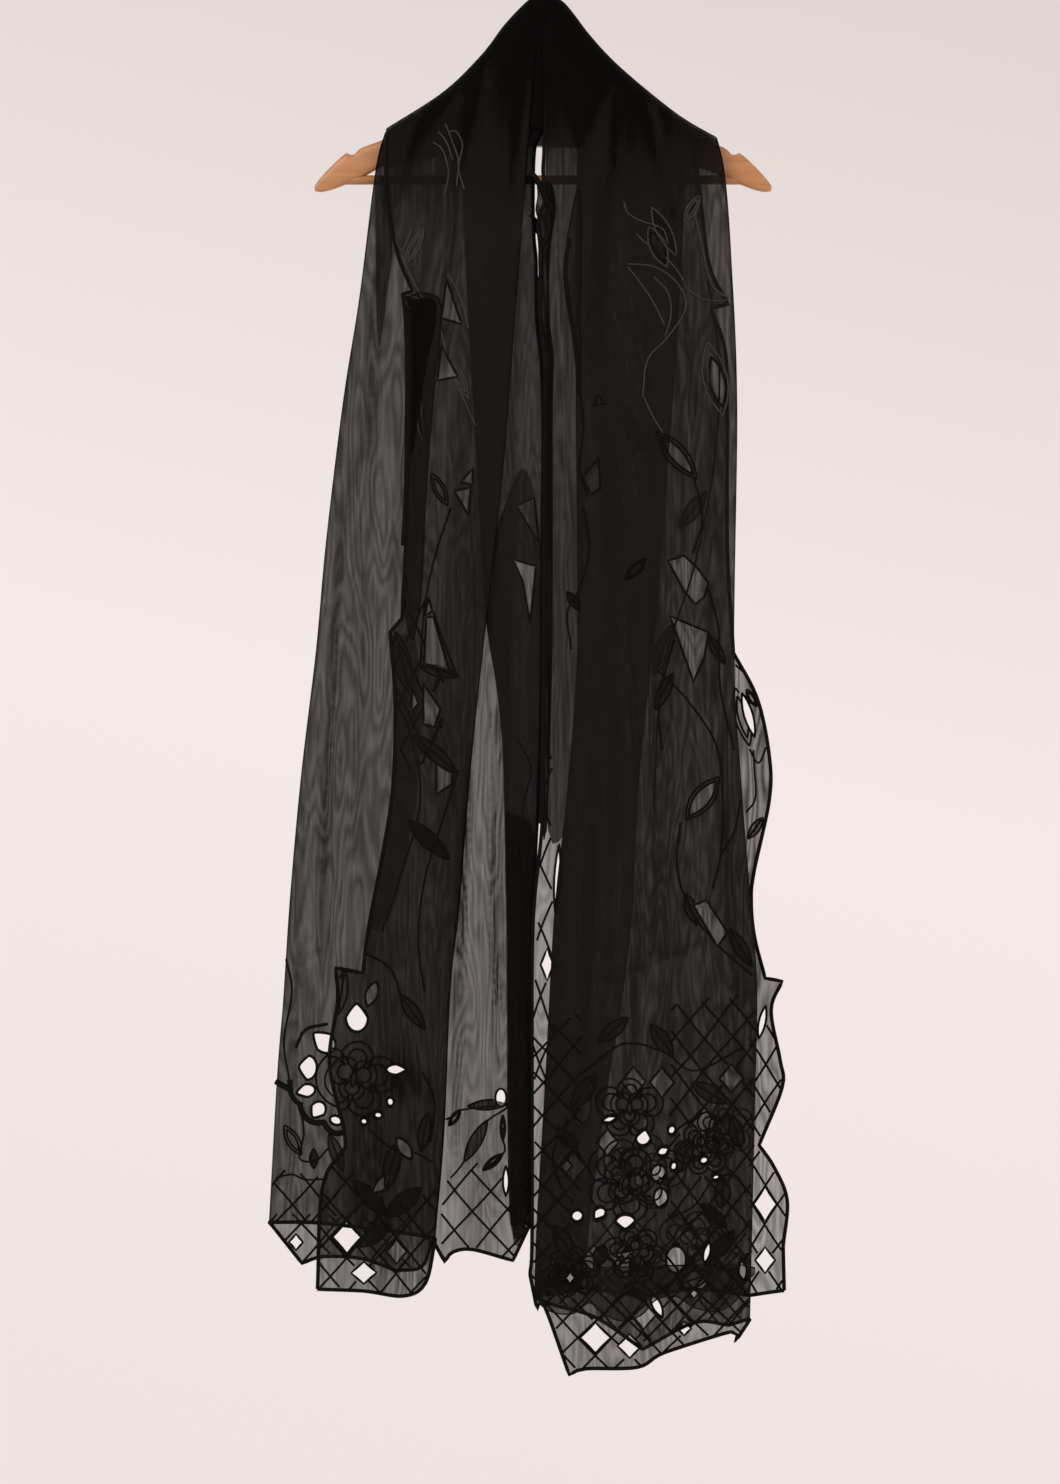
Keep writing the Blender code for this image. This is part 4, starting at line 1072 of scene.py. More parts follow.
def hole_loop(shape, x, down, wide, tall, turn=0):
    """A hole's edge: a diamond, a lens with two tips, a drop with one, or a round one."""
    loop = []
    points = DIAMOND_POINTS if shape == "diamond" else ROUND_POINTS
    for k in range(points):
        a = 2 * math.pi * k / points
        u, v = math.sin(a), math.cos(a)
        if shape == "diamond":
            u, v = (t / (abs(math.sin(a)) + abs(math.cos(a))) for t in (u, v))
        if shape == "lens":
            u = u * abs(u)
        if shape == "drop" and v > 0:
            u = u * (1.0 - DROP_NARROWS * v)
        loop.append((0.5 * wide * u, 0.5 * tall * v))
    c, s = math.cos(math.radians(turn)), math.sin(math.radians(turn))
    return np.array([(x + u * c + v * s, down - (v * c - u * s)) for u, v in loop])


def closed_line(corners, step):
    """A closed loop through corners with points about a step apart."""
    corners = np.asarray(corners, float)
    line = [smooth_line((a, b), step)[:-1] for a, b in zip(corners, np.roll(corners, -1, 0))]
    return np.vstack(line)


def panel_holes(panel, border):
    """The holes that fit whole inside a panel's outline."""
    name = panel[0]
    loops = [hole_loop(*row) for row in (*THROUGH, *SINGLE.get(name, ()))]
    loops += [closed_line(corners, EDGE_STEP) for corners in PATCHES.get(name, ())]
    kept = []
    for loop in loops:
        whole = inside(loop, border).all() and loop_distance(loop, border).min() > HOLE_TO_EDGE
        apart = all(
            loop_distance(loop, other).min() > HOLE_TO_HOLE and not inside(loop, other).any()
            for other in kept
        )
        if whole and apart:
            kept.append(loop)
    return kept


def crease_depth(name, points):
    """How far the creases that cross a panel stand out of it, at points of the front view."""
    rise = np.zeros(len(points))
    for tails, route, half_width, deep in CREASES:
        if name.startswith(tails):
            rise += deep * route_nearness(points, route, half_width)
    return rise


def crease_shade(name, points):
    """Painted shade along the creases, as soft dark lines, stronger for the narrow ones at the neck, less a painted
    highlight on the neck's ridges.
    """
    shade = np.zeros(len(points))
    high = NECK_SHADE * (1.0 - between(points[:, 1], NECK_SHADE_ENDS))
    for tails, route, half_width, _ in CREASES:
        if name.startswith(tails):
            shade += CREASE_SHADE * route_nearness(points, route, CREASE_CORE * half_width)
            if half_width <= NECK_WIDEST:
                shade += high * route_nearness(points, route, half_width)
    for tails, route, half_width in RIDGES:
        if name.startswith(tails):
            shade -= RIDGE_LIGHT * route_nearness(points, route, half_width)
    return shade


def thickness_and_shade(name, points):
    """How much the gathers make a panel denser, and how much the soft places listed for each panel add, one of them
    painted shade.
    """
    x, down = points.T
    amount = GATHERED * (1.0 - between(down, GATHER_ENDS))
    amount = amount + PEAK_DENSE * (1.0 - between(down, PEAK_ENDS))
    for mid_x, mid_down, half_wide, half_tall, more in THICKER_OR_SHADED.get(name, ()):
        away = ((x - mid_x) / half_wide) ** 2 + ((down - mid_down) / half_tall) ** 2
        amount = amount + more * soft_step(THICKER_REACH - away)
    return amount


def slope_shade(name, points):
    """How dark the slopes of the creases and flutes are."""
    step = np.array([1.0, 0.0])
    heights = [
        crease_depth(name, points + side * step) + wave(*(points + side * step).T)
        for side in (-1.0, 1.0)
    ]
    return SLOPE_SHADE * np.abs(heights[1] - heights[0]) / 2.0


def panel_depth(panel, points):
    """y of a panel's surface at points of the front view, and how much its folds thicken it there."""
    name, order, ridge, left, left_joins, right, right_joins = panel
    x, down = points.T
    depth = stack_depth(order, down) + wave(x, down)
    radius = 0.5 * stack_spacing(down)
    loose = np.ones(len(x))
    dense_or_shaded = np.zeros(len(x))
    for edge, joins in ((left, left_joins), (right, right_joins)):
        if joins is not None:
            away = np.abs(x - edge_x(edge, down))
            side = 1.0 if joins > order else -1.0
            depth += side * radius * fold_turn(away, radius)
            loose *= np.clip(away / FOLD_CALM, 0.0, 1.0)
            dense_or_shaded = np.maximum(dense_or_shaded, np.exp(-away / FOLD_DARK))
    depth += loose * crease_depth(name, points)
    if ridge is None:
        return -depth, dense_or_shaded
    near = line_distance(points, panel_top(panel))
    turned = 1.0 - np.clip(near / turn_height(order), 0.0, 1.0)
    dense_or_shaded = np.maximum(dense_or_shaded, np.exp(-near / FOLD_DARK))
    return -depth * np.sqrt(1.0 - turned**2), dense_or_shaded


def inner_points(panel, border, holes):
    """Points inside a panel: an even grid, with more along its folds and its turn."""
    _, order, ridge, left, left_joins, right, right_joins = panel
    low, high = border.min(0), border.max(0)
    rows = np.arange(low[1], high[1], GRID * math.sqrt(0.75))
    grid = [
        (x, down)
        for i, down in enumerate(rows)
        for x in np.arange(low[0] + 0.5 * GRID * (i % 2), high[0], GRID)
    ]
    grid = np.array(grid)
    keep = loop_distance(grid, border) > 0.6 * GRID
    if ridge is not None:
        keep &= line_distance(grid, panel_top(panel)) > 1.15 * turn_height(order)
    groups = [grid[keep]]
    folds = []
    for edge, joins, way in ((left, left_joins, 1), (right, right_joins, -1)):
        if joins is not None:
            for x, down in panel_side(edge, ridge, order):
                radius = 0.5 * float(stack_spacing(down))
                folds += [(x + way * radius * part, down) for part in FOLD_PARTS]
    groups.append(np.array(folds).reshape(-1, 2))
    if ridge is not None:
        for part in TURN_PARTS:
            inward = ridge * RIDGE_STEP + part * turn_height(order)
            line = np.column_stack([TOP_COLUMNS, ridge_down(TOP_COLUMNS, inward)])
            for side in (left, right):
                line = line[np.abs(line[:, 0] - edge_x(side, line[:, 1])) > 1.0]
            groups.append(line)
    points = np.vstack(groups)
    points = points[inside(points, border)]
    for loop in holes:
        points = points[~inside(points, loop) & (loop_distance(points, loop) > HOLE_CLEAR)]
    return points


def triangles(flat, loops, heights):
    """Triangles over points of the front view, and those points in their new order.

    The first points are those of the closed loops: a border, and holes that stay open.
    """
    edges, start = [], 0
    for loop in loops:
        count = len(loop)
        edges += [(start + i, start + (i + 1) % count) for i in range(count)]
        start += count
    corners = [Vector((x, -height)) for x, height in zip(flat[:, 0], heights)]
    _, _, faces, origin, *_ = delaunay_2d_cdt(corners, edges, [], 1, 1e-4)
    flat = np.array([flat[source[0]] for source in origin])
    tris = np.array([face for face in faces if len(face) == 3])
    middle = flat[tris].mean(1)
    keep = inside(middle, loops[0])
    for loop in loops[1:]:
        keep &= ~inside(middle, loop)
    return flat, tris[keep]


def even_triangles(border, holes, step):
    """Triangles over an even grid within a border and outside its holes, and their points."""
    low, high = border.min(0), border.max(0)
    grid = [(x, d) for d in np.arange(low[1], high[1], step) for x in np.arange(low[0], high[0], step)]
    grid = np.array(grid).reshape(-1, 2)
    keep = inside(grid, border) & (loop_distance(grid, border) > 0.5 * step)
    for loop in holes:
        keep &= ~inside(grid, loop) & (loop_distance(grid, loop) > HOLE_CLEAR)
    flat = np.vstack([border, *holes, grid[keep]])
    return triangles(flat, (border, *holes), flat[:, 1])


def cloth_shell(panel):
    """A panel's shell with its holes, and the loops of those holes."""
    name = panel[0]
    border = outline(panel)
    holes = panel_holes(panel, border)
    flat = np.vstack([border, *holes, inner_points(panel, border, holes)])
    flat, tris = triangles(flat, (border, *holes), levelled(flat[:, 0], flat[:, 1]))
    y, dense_or_shaded = panel_depth(panel, flat)
    # The value that cover and colour follow takes the painted shade of the creases and of the shadow behind the left
    # tail's gap, and the painted highlight of the neck's ridges
    dense_or_shaded = dense_or_shaded + crease_shade(name, flat) + slope_shade(name, flat) + thickness_and_shade(name, flat)
    return np.column_stack([flat[:, 0], y, -flat[:, 1]]), tris, dense_or_shaded, holes


def add_mesh(name, points, faces, material, attribute=None):
    """A smooth mesh object from points in millimetres, with an optional value for each point."""
    mesh = bpy.data.meshes.new(name)
    places = [tuple(p) for p in np.asarray(points) * MM]
    mesh.from_pydata(places, [], [tuple(map(int, face)) for face in faces])
    mesh.materials.append(material)
    if attribute is not None:
        layer = mesh.attributes.new(attribute[0], "FLOAT", "POINT")
        layer.data.foreach_set("value", np.asarray(attribute[1], np.float32))
    form = bmesh.new()
    form.from_mesh(mesh)
    bmesh.ops.delete(form, geom=[v for v in form.verts if not v.link_faces], context="VERTS")
    form.to_mesh(mesh)
    form.free()
    mesh.shade_smooth()
    thing = bpy.data.objects.new(name, mesh)
    bpy.context.scene.collection.objects.link(thing)
    return thing


class Gathered:
    """Gathers points, faces and a value for each point, of density or painted shade, into one mesh."""

    def __init__(self):
        self.points = []
        self.faces = []
        self.dense_or_shaded = []

    def add_part(self, points, faces):
        start = sum(len(p) for p in self.points)
        self.points.append(points)
        self.faces += [tuple(start + k for k in face) for face in faces]

    def made(self, name, material):
        value = ("dense_or_shaded", np.concatenate(self.dense_or_shaded)) if self.dense_or_shaded else None
        return add_mesh(name, np.vstack(self.points), self.faces, material, value)


class Cords(Gathered):
    """Gathers tubes into one mesh."""

    def add(self, line, radius, closed=False, sides=6):
        """A tube along points in millimetres. The radius is one number or one for each point."""
        line = np.asarray(line, float)
        count = len(line)
        if count < 2:
            return
        ahead = np.roll(line, -1, 0) if closed else np.vstack([line[1:], line[-1:]])
        behind = np.roll(line, 1, 0) if closed else np.vstack([line[:1], line[:-1]])
        along = ahead - behind
        along /= np.maximum(np.linalg.norm(along, axis=1), 1e-9)[:, None]
        across = np.cross(along, (0.0, 1.0, 0.0))
        across /= np.maximum(np.linalg.norm(across, axis=1), 1e-9)[:, None]
        out = np.cross(across, along)
        radius = np.broadcast_to(np.asarray(radius, float), (count,))
        rings, faces = [], []
        for k in range(sides):
            a = 2 * math.pi * k / sides
            rings.append(line + radius[:, None] * (math.cos(a) * across + math.sin(a) * out))
        for i in range(count if closed else count - 1):
            a, b = i * sides, (i + 1) % count * sides
            for k in range(sides):
                n = (k + 1) % sides
                faces.append((a + k, b + k, b + n, a + n))
        if not closed:
            faces += [tuple(range(sides)), tuple(range((count - 1) * sides, count * sides))[::-1]]
        self.add_part(np.stack(rings, 1).reshape(-1, 3), faces)


def new_material(name):
    """A Principled material: its node tree and its shader."""
    material = bpy.data.materials.new(name)
    material.use_nodes = True
    return material, material.node_tree, material.node_tree.nodes["Principled BSDF"]


def stretched_noise(tree, size, scale, detail):
    """A noise in object space, stretched by sizes along the axes, with its value as output."""
    coordinates = tree.nodes.new("ShaderNodeTexCoord")
    mapping = tree.nodes.new("ShaderNodeMapping")
    mapping.inputs["Scale"].default_value = size
    noise = tree.nodes.new("ShaderNodeTexNoise")
    noise.inputs["Scale"].default_value = scale
    noise.inputs["Detail"].default_value = detail
    tree.links.new(coordinates.outputs["Object"], mapping.inputs["Vector"])
    tree.links.new(mapping.outputs["Vector"], noise.inputs["Vector"])
    return noise.outputs["Fac"]


def math_node(tree, operation, *values, clamp=False):
    """One step of arithmetic on sockets or numbers."""
    node = tree.nodes.new("ShaderNodeMath")
    node.operation = operation
    node.use_clamp = clamp
    for socket, value in zip(node.inputs, values):
        if isinstance(value, (int, float)):
            socket.default_value = value
        else:
            tree.links.new(value, socket)
    return node.outputs[0]


def ramp(tree, value, stops):
    """Colours along a value: rows of place and colour."""
    node = tree.nodes.new("ShaderNodeValToRGB")
    for i, (place, colour) in enumerate(stops):
        stop = node.color_ramp.elements[i] if i < 2 else node.color_ramp.elements.new(place)
        stop.position = place
        stop.color = (*colour, 1.0)
    tree.links.new(value, node.inputs["Fac"])
    return node.outputs["Color"]


def coloured(tree, shader, value, stops):
    """Gives a shader its colour along a value."""
    tree.links.new(ramp(tree, value, stops), shader.inputs["Base Color"])


def bump(tree, shader, height, strength, distance):
    """Raises a surface by a height socket."""
    node = tree.nodes.new("ShaderNodeBump")
    node.inputs["Strength"].default_value = strength
    node.inputs["Distance"].default_value = distance
    tree.links.new(height, node.inputs["Height"])
    tree.links.new(node.outputs["Normal"], shader.inputs["Normal"])


def organza_material(name, cover, seed, watered):
    """Sheer black silk: how much it covers wavers in long grains, and is more in its folds. Its colour darkens along
    the same value, which paints shade in its creases and a highlight on the neck's ridges.
    """
    material, tree, shader = new_material(name)
    shift = tree.nodes.new("ShaderNodeAttribute")
    shift.attribute_name = "dense_or_shaded"
    grain = stretched_noise(tree, (1.0, 1.0, 0.16), 26.0 + seed, 2.0)
    rings = math_node(tree, "SINE", math_node(tree, "MULTIPLY", grain, 95.0))
    thread = stretched_noise(tree, (1.0, 1.0, 0.03), 420.0 + 13 * seed, 1.0)
    alpha = math_node(tree, "MULTIPLY_ADD", rings, watered, cover)
    uneven = math_node(tree, "SUBTRACT", thread, 0.5)
    alpha = math_node(tree, "ADD", alpha, math_node(tree, "MULTIPLY", uneven, 0.16))
    alpha = math_node(tree, "ADD", alpha, math_node(tree, "MULTIPLY", shift.outputs["Fac"], 0.26))
    alpha = math_node(tree, "MINIMUM", alpha, 0.985)
    tree.links.new(alpha, shader.inputs["Alpha"])
    # Painted shade and highlight: the colour follows the same value, darker in creases and shaded places, lighter on
    # the neck's ridges
    tone = math_node(tree, "MULTIPLY", uneven, 0.35)
    coloured(tree, shader, math_node(tree, "ADD", shift.outputs["Fac"], tone), CLOTH_COLOURS)
    shader.inputs["Roughness"].default_value = 0.62
    shader.inputs["Specular IOR Level"].default_value = 0.02
    shader.inputs["Sheen Weight"].default_value = 0.004
    shader.inputs["Sheen Roughness"].default_value = 0.4
    bump(tree, shader, thread, 0.25, 0.0004)
    return material


def thread_material(name, scale, stops, shine, raised):
    """Silk thread: colours along its twist, roughness and shine, and how far the twist stands out."""
    material, tree, shader = new_material(name)
    twist = stretched_noise(tree, (1.0, 1.0, 1.0), scale, 1.0)
    coloured(tree, shader, twist, stops)
    shader.inputs["Roughness"].default_value = shine[0]
    shader.inputs["Specular IOR Level"].default_value = shine[1]
    bump(tree, shader, twist, *raised)
    return material


def wood_material():
    """Honey wood with long soft grain under a satin varnish."""
    material, tree, shader = new_material("hanger_wood")
    grain = stretched_noise(tree, (0.25, 1.0, 3.0), 38.0, 4.0)
    fine = stretched_noise(tree, (0.08, 1.0, 4.0), 240.0, 2.0)
    parts = math_node(tree, "MULTIPLY", grain, 0.75), math_node(tree, "MULTIPLY", fine, 0.25)
    both = math_node(tree, "ADD", *parts)
    coloured(tree, shader, both, WOOD_COLOURS)
    shader.inputs["Roughness"].default_value = 0.38
    shader.inputs["Coat Weight"].default_value = 0.25
    shader.inputs["Coat Roughness"].default_value = 0.25
    bump(tree, shader, both, 0.12, 0.0006)
    return material


def wire_material():
    """Bright plated steel with faint drawing marks."""
    material, tree, shader = new_material("hook_wire")
    marks = stretched_noise(tree, (1.0, 1.0, 1.0), 300.0, 2.0)
    coloured(tree, shader, marks, WIRE_COLOURS)
    shader.inputs["Metallic"].default_value = 1.0
    shader.inputs["Roughness"].default_value = 0.22
    bump(tree, shader, marks, 0.05, 0.0003)
    return material


def neck_depth(layer, down, top, lean, clear_stem):
    """Distance behind the hanger's middle plane of a layer of the neck."""
    turned = 1.0 - np.clip((down - top) / lean / turn_height(layer), 0.0, 1.0)
    depth = float(stack_depth(layer, down)) * math.sqrt(1.0 - turned**2)
    return max(depth, clear_stem)


def neck_profile(top, lean, foot):
    """The neck's three layers in one section, from the top outline on: layer and height."""
    fold = top + NECK_FOLD * lean
    start = top + NECK_START * lean
    low = foot - NECK_BEND
    high = fold + NECK_BEND
    parts = np.linspace(0.0, 1.0, 16)
    rows = [(2, top + near * lean) for near in (0.0, 0.5, 1.5, 3.0, 5.5, 9.0, 13.0)]
    rows += [(2, start + (low - start) * part) for part in parts]
    rows += [(1.9, foot - 1.2), (1.5, foot), (1.1, foot - 1.2)]
    rows += [(1, high + (low - high) * part) for part in parts[::-1]]
    rows += [(0.9, fold + 1.0), (0.5, fold), (0.1, fold + 1.0)]
    rows += [(0, high + (foot + NECK_BEND - high) * part) for part in parts]
    return rows


def neck_cloth(material):
    """The gathered stretch behind the neck, with pleats that spread from its peak."""
    rows = []
    columns = np.linspace(*NECK_ENDS, NECK_COLUMNS)
    for x in columns:
        top = float(ridge_down(x))
        lean = float(ridge_down(x, 1.0)) - top
        foot = NECK_FOOT + NECK_DROP * (x / NECK_SHOULDER) ** 2
        clear_stem = STEM_CLEAR * max(0.0, 1.0 - (x / STEM_BESIDE) ** 2)
        for layer, down in neck_profile(top, lean, foot):
            y = neck_depth(layer, down, top, lean, clear_stem)
            spread = math.atan2(x, down - NECK_FAN)
            grown = min(1.0, max(0.0, (down - top - NECK_CALM) / NECK_GROWS))
            ripple = NECK_RIPPLE * math.sin(NECK_RIPPLES * spread) * grown
            rows.append((x, max(y + ripple, clear_stem), -down))
    wide = len(rows) // len(columns)
    faces = []
    for i in range(len(columns) - 1):
        for j in range(wide - 1):
            a = i * wide + j
            faces.append((a + wide, a + wide + 1, a + 1, a))
    dense_or_shaded = np.zeros(len(rows))
    dense_or_shaded[::wide] = 1.0
    return add_mesh("neck_cloth", rows, faces, material, ("dense_or_shaded", dense_or_shaded))


def hanger_bow(material):
    """The bow: a rounded section swept along its arms, with a notch near each tip."""
    arm = smooth_line([(x, top) for x, top, _ in BOW], BOW_STEP)
    under = smooth_line([(x, low) for x, _, low in BOW], BOW_STEP)
    xs = arm[:, 0]
    low = np.interp(xs, under[:, 0], under[:, 1])
    top = arm[:, 1] + notch_drop(xs)
    xs = np.concatenate([-xs[:0:-1], xs])
    top = np.concatenate([top[:0:-1], top])
    low = np.concatenate([low[:0:-1], low])
    points, faces, sides = [], [], BOW_SIDES
    for x, a, b in zip(xs, top, low):
        half_tall = 0.5 * (b - a)
        for k in range(sides):
            turn = 2 * math.pi * k / sides
            u, v = math.cos(turn), math.sin(turn)
            y = 0.5 * BOW_THICK * math.copysign(abs(u) ** BOW_SQUARE[0], u)
            z = half_tall * math.copysign(abs(v) ** BOW_SQUARE[1], v)
            points.append((x, y, -(0.5 * (a + b)) + z))
    for i in range(len(xs) - 1):
        for k in range(sides):
            a, b = i * sides + k, i * sides + (k + 1) % sides
            faces.append((a, b, b + sides, a + sides))
    faces.append(tuple(range(sides))[::-1])
    faces.append(tuple(range((len(xs) - 1) * sides, len(xs) * sides)))
    return add_mesh("hanger_bow_wood", points, faces, material)


def notch_drop(xs):
    """How far the bow's top edge dips for the notch near its tip."""
    inside_notch = np.clip(1.0 - ((xs - NOTCH_X) / NOTCH_SIZE) ** 2, 0.0, 1.0)
    return NOTCH_SIZE * np.sqrt(inside_notch)


def hook_line():
    """The hook's wire: a straight stem, a small bend and an open loop over the origin."""
    ring = HOOK_INSIDE + WIRE_RADIUS
    points = [(x, 0.0, -down) for x, down in HOOK_STEM]
    for turn in np.radians(np.linspace(*HOOK_TURN)):
        points.append((ring * math.cos(turn), 0.0, ring * math.sin(turn) - HOOK_INSIDE))
    return points


def fixed(piece, slot, node=None):
    """Gives a piece its slot and its body, and the node that it stands in for."""
    if node is not None:
        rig.replaces(piece, node)
    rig.slot(piece, slot)
    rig.ride(piece, "root")
    return piece


def made_hanger(wood, wire):
    """The bow, the bar under it and the hook."""
    fixed(hanger_bow(wood), "wood", "hanger_bow")
    bar = Cords()
    bar.add([(x, 0.0, -BAR_DOWN) for x in np.linspace(-BAR_REACH, BAR_REACH, 20)], BAR_RADIUS, sides=28)
    fixed(bar.made("hanger_bar_wood", wood), "wood", "hanger_bar")
    hook = Cords()
    hook.add(hook_line(), WIRE_RADIUS, sides=20)
    fixed(hook.made("hanger_hook_wire", wire), "wire", "hanger_hook")


def made_stage():
    """A pale floor, pale even light all round and two soft lamps."""
    scene = bpy.context.scene
    scene.view_settings.view_transform = "Standard"
    scene.cycles.transparent_max_bounces = 48
    scene.cycles.max_bounces = 8
    world = bpy.data.worlds.new("pale_room")
    scene.world = world
    world.use_nodes = True
    tree = world.node_tree
    coordinates = tree.nodes.new("ShaderNodeTexCoord")
    split = tree.nodes.new("ShaderNodeSeparateXYZ")
    tree.links.new(coordinates.outputs["Generated"], split.inputs["Vector"])
    height = math_node(tree, "MULTIPLY_ADD", split.outputs["Z"], 0.5, 0.5)
    height = math_node(tree, "ADD", height, math_node(tree, "MULTIPLY", split.outputs["X"], 0.12))
    colour = ramp(tree, height, WORLD_COLOURS)
    tree.links.new(colour, tree.nodes["Background"].inputs["Color"])
    tree.nodes["Background"].inputs["Strength"].default_value = 1.0
    (low_x, low_y, _), (high_x, high_y, _) = FLOOR_BOX
    corners = ((low_x, low_y), (high_x, low_y), (high_x, high_y), (low_x, high_y))
    corners = [(x, y, FLOOR) for x, y in corners]
    floor = add_mesh("floor", corners, [(0, 1, 2, 3)], floor_material())
    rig.stage(floor)
    for name, place, size, power in LAMPS:
        lamp = bpy.data.lights.new(name, "AREA")
        lamp.size = size
        lamp.energy = power
        lamp.color = (1.0, 0.97, 0.95)
        aim = Vector(LAMP_AIM) - Vector(place)
        stood(lamp, place, aim.to_track_quat("-Z", "Y").to_euler())
    camera = bpy.data.cameras.new("camera")
    camera.sensor_fit = "VERTICAL"
    camera.sensor_height = SENSOR
    camera.sensor_width = SENSOR
    camera.lens = SENSOR * CAMERA_AWAY / VIEW_TALL
    place = (VIEW_X * MM, -CAMERA_AWAY * MM, -VIEW_DOWN * MM)
    scene.camera = stood(camera, place, (math.pi / 2, 0.0, 0.0))


def stood(data, place, turn):
    """Stands a lamp or the camera in the scene."""
    thing = bpy.data.objects.new(data.name, data)
    thing.location = place
    thing.rotation_euler = turn
    bpy.context.scene.collection.objects.link(thing)
    return thing


def floor_material():
    """A pale matt floor with a faint mottle, which fades out towards its edge."""
    material, tree, shader = new_material("pale_floor")
    place = tree.nodes.new("ShaderNodeTexCoord")
    centred = tree.nodes.new("ShaderNodeMapping")
    centred.inputs["Location"].default_value = tuple(-0.5 * MM * (a + b) for a, b in zip(*FLOOR_BOX))
    away = tree.nodes.new("ShaderNodeVectorMath")
    away.operation = "LENGTH"
    tree.links.new(place.outputs["Object"], centred.inputs["Vector"])
    tree.links.new(centred.outputs["Vector"], away.inputs[0])
    shown = math_node(tree, "SUBTRACT", FLOOR_FADE[1] * MM, away.outputs["Value"])
    shown = math_node(tree, "DIVIDE", shown, (FLOOR_FADE[1] - FLOOR_FADE[0]) * MM, clamp=True)
    tree.links.new(shown, shader.inputs["Alpha"])
    mottle = stretched_noise(tree, (1.0, 1.0, 1.0), 3.0, 3.0)
    coloured(tree, shader, mottle, FLOOR_COLOURS)
    shader.inputs["Roughness"].default_value = 0.9
    return material


def laid_piece(panel, border, out):
    """A flat piece of cloth laid on a panel within a border, cut open where the panel is."""
    flat, tris = even_triangles(border, panel_holes(panel, border), LAID_STEP)
    return laid(panel, flat, out), tris


class Pieces(Gathered):
    """Gathers laid pieces of cloth into one mesh."""

    def add(self, points, faces, dense_or_shaded):
        self.add_part(points, faces)
        self.dense_or_shaded.append(np.broadcast_to(dense_or_shaded, (len(points),)))


def kept_runs(line, keep):
    """The stretches of a line whose points are all kept."""
    runs, run = [], []
    for point, good in zip(line, keep):
        if good:
            run.append(point)
        elif run:
            runs.append(np.array(run))
            run = []
    if run:
        runs.append(np.array(run))
    return [run for run in runs if len(run) > 2]


def flower_lines(x, down, radius, petals, turn):
    """Two rings of wide petals, each with a line inside its rim, about a bud, each as a line."""
    lines = []
    t = np.linspace(0.0, 1.0, PETAL_POINTS)
    for near, far, shift, fewer in PETAL_RINGS:
        step = 2 * math.pi / (petals - fewer)
        for k in range(petals - fewer):
            middle = math.radians(turn) + (k + shift) * step
            uneven = 1.0 + 0.08 * math.sin(2.3 * k + 5.0 * far)
            for part, spread in PETAL_LINES:
                away = radius * uneven * (near + part * (far - near) * np.sin(math.pi * t) ** 0.5)
                angle = middle + (t - 0.5) * step * spread
                lines.append(np.column_stack([x + away * np.sin(angle), down - away * np.cos(angle)]))
    bud = hole_loop("lens", x, down, BUD[0] * radius, BUD[1] * radius, turn)
    return [*lines, rejoined(bud)]


def leaf_lines(x, down, wide, long, turn, work):
    """The outline of a leaf and what is worked in it, each as a line."""
    loop = hole_loop("lens", x, down, wide, long, turn)
    lines = [rejoined(loop)]
    if work == "vein":
        tips = hole_loop("lens", x, down, wide, LEAF_VEIN * long, turn)[[0, ROUND_POINTS // 2]]
        lines.append(smooth_line(tips, LINE_STEP))
    if work == "line":
        inner = hole_loop("lens", x, down, LEAF_INNER[0] * wide, LEAF_INNER[1] * long, turn)
        lines.append(rejoined(inner))
    return lines


def lattice_lines(x, down, wide, tall, corners):
    """The slanting lines of a lattice that fall within its corners."""
    corners = np.asarray(corners, float)
    low, high = corners.min(0), corners.max(0)
    lines = []
    rows = np.arange(low[1], high[1], LINE_STEP)
    for side in (-1.0, 1.0):
        reach = int((high[0] - low[0]) / wide + (high[1] - low[1]) / tall) + 2
        for k in range(-reach, reach):
            across = x + wide * ((k + 0.5) + side * (rows - down) / tall)
            across = across + LATTICE_WAVER * np.sin(rows / LATTICE_WAVE + 2.1 * k)
            line = np.column_stack([across, rows])
            lines += kept_runs(line, inside(line, corners))
    return lines


def ornament(panel, border, holes, cords, painted_highlight_cords):
    """Adds a panel's cutwork cords: lattices, flowers, leaves and vines."""
    name = panel[0]
    rows = []
    for line in (line for row in LATTICES.get(name, ()) for line in lattice_lines(*row)):
        clear = np.full(len(line), True)
        for loop in holes:
            clear &= loop_distance(line, loop) > LATTICE_CLEAR
        rows += [(LATTICE_CORD, run) for run in kept_runs(line, clear)]
    for row in FLOWERS.get(name, ()):
        x, down, radius = row[:3]
        rows = [
            (size, run)
            for size, line in rows
            for run in kept_runs(line, np.hypot(line[:, 0] - x, line[:, 1] - down) > radius)
        ]
        rows += [(LINE_CORD, line) for line in flower_lines(*row)]
    rows += [(LINE_CORD, line) for row in LEAVES.get(name, ()) for line in leaf_lines(*row)]
    rows += [(LINE_CORD, smooth_line(route, LINE_STEP)) for route in VINES.get(name, ())]
    for radius, route in SCALLOPS.get(name, ()):
        cords.add(laid(panel, smooth_line(route, LINE_STEP), CORD_OUT), radius, sides=8)
    if not rows:
        return
    every = np.vstack([line for _, line in rows])
    keep = inside(every, border)
    for loop in holes:
        keep &= ~inside(every, loop)
    laid_all = laid(panel, every, CORD_OUT)
    start = 0
    for size, line in rows:
        part = slice(start, start + len(line))
        start += len(line)
        # Cords high on a front panel take the lighter thread, a painted highlight where they catch light
        painted_highlight = size == LINE_CORD and "front" in name and line[:, 1].max() < PAINTED_HIGHLIGHT_END
        for run in kept_runs(laid_all[part], keep[part]):
            if painted_highlight:
                painted_highlight_cords.add(run, THREAD)
            else:
                cords.add(run, size)


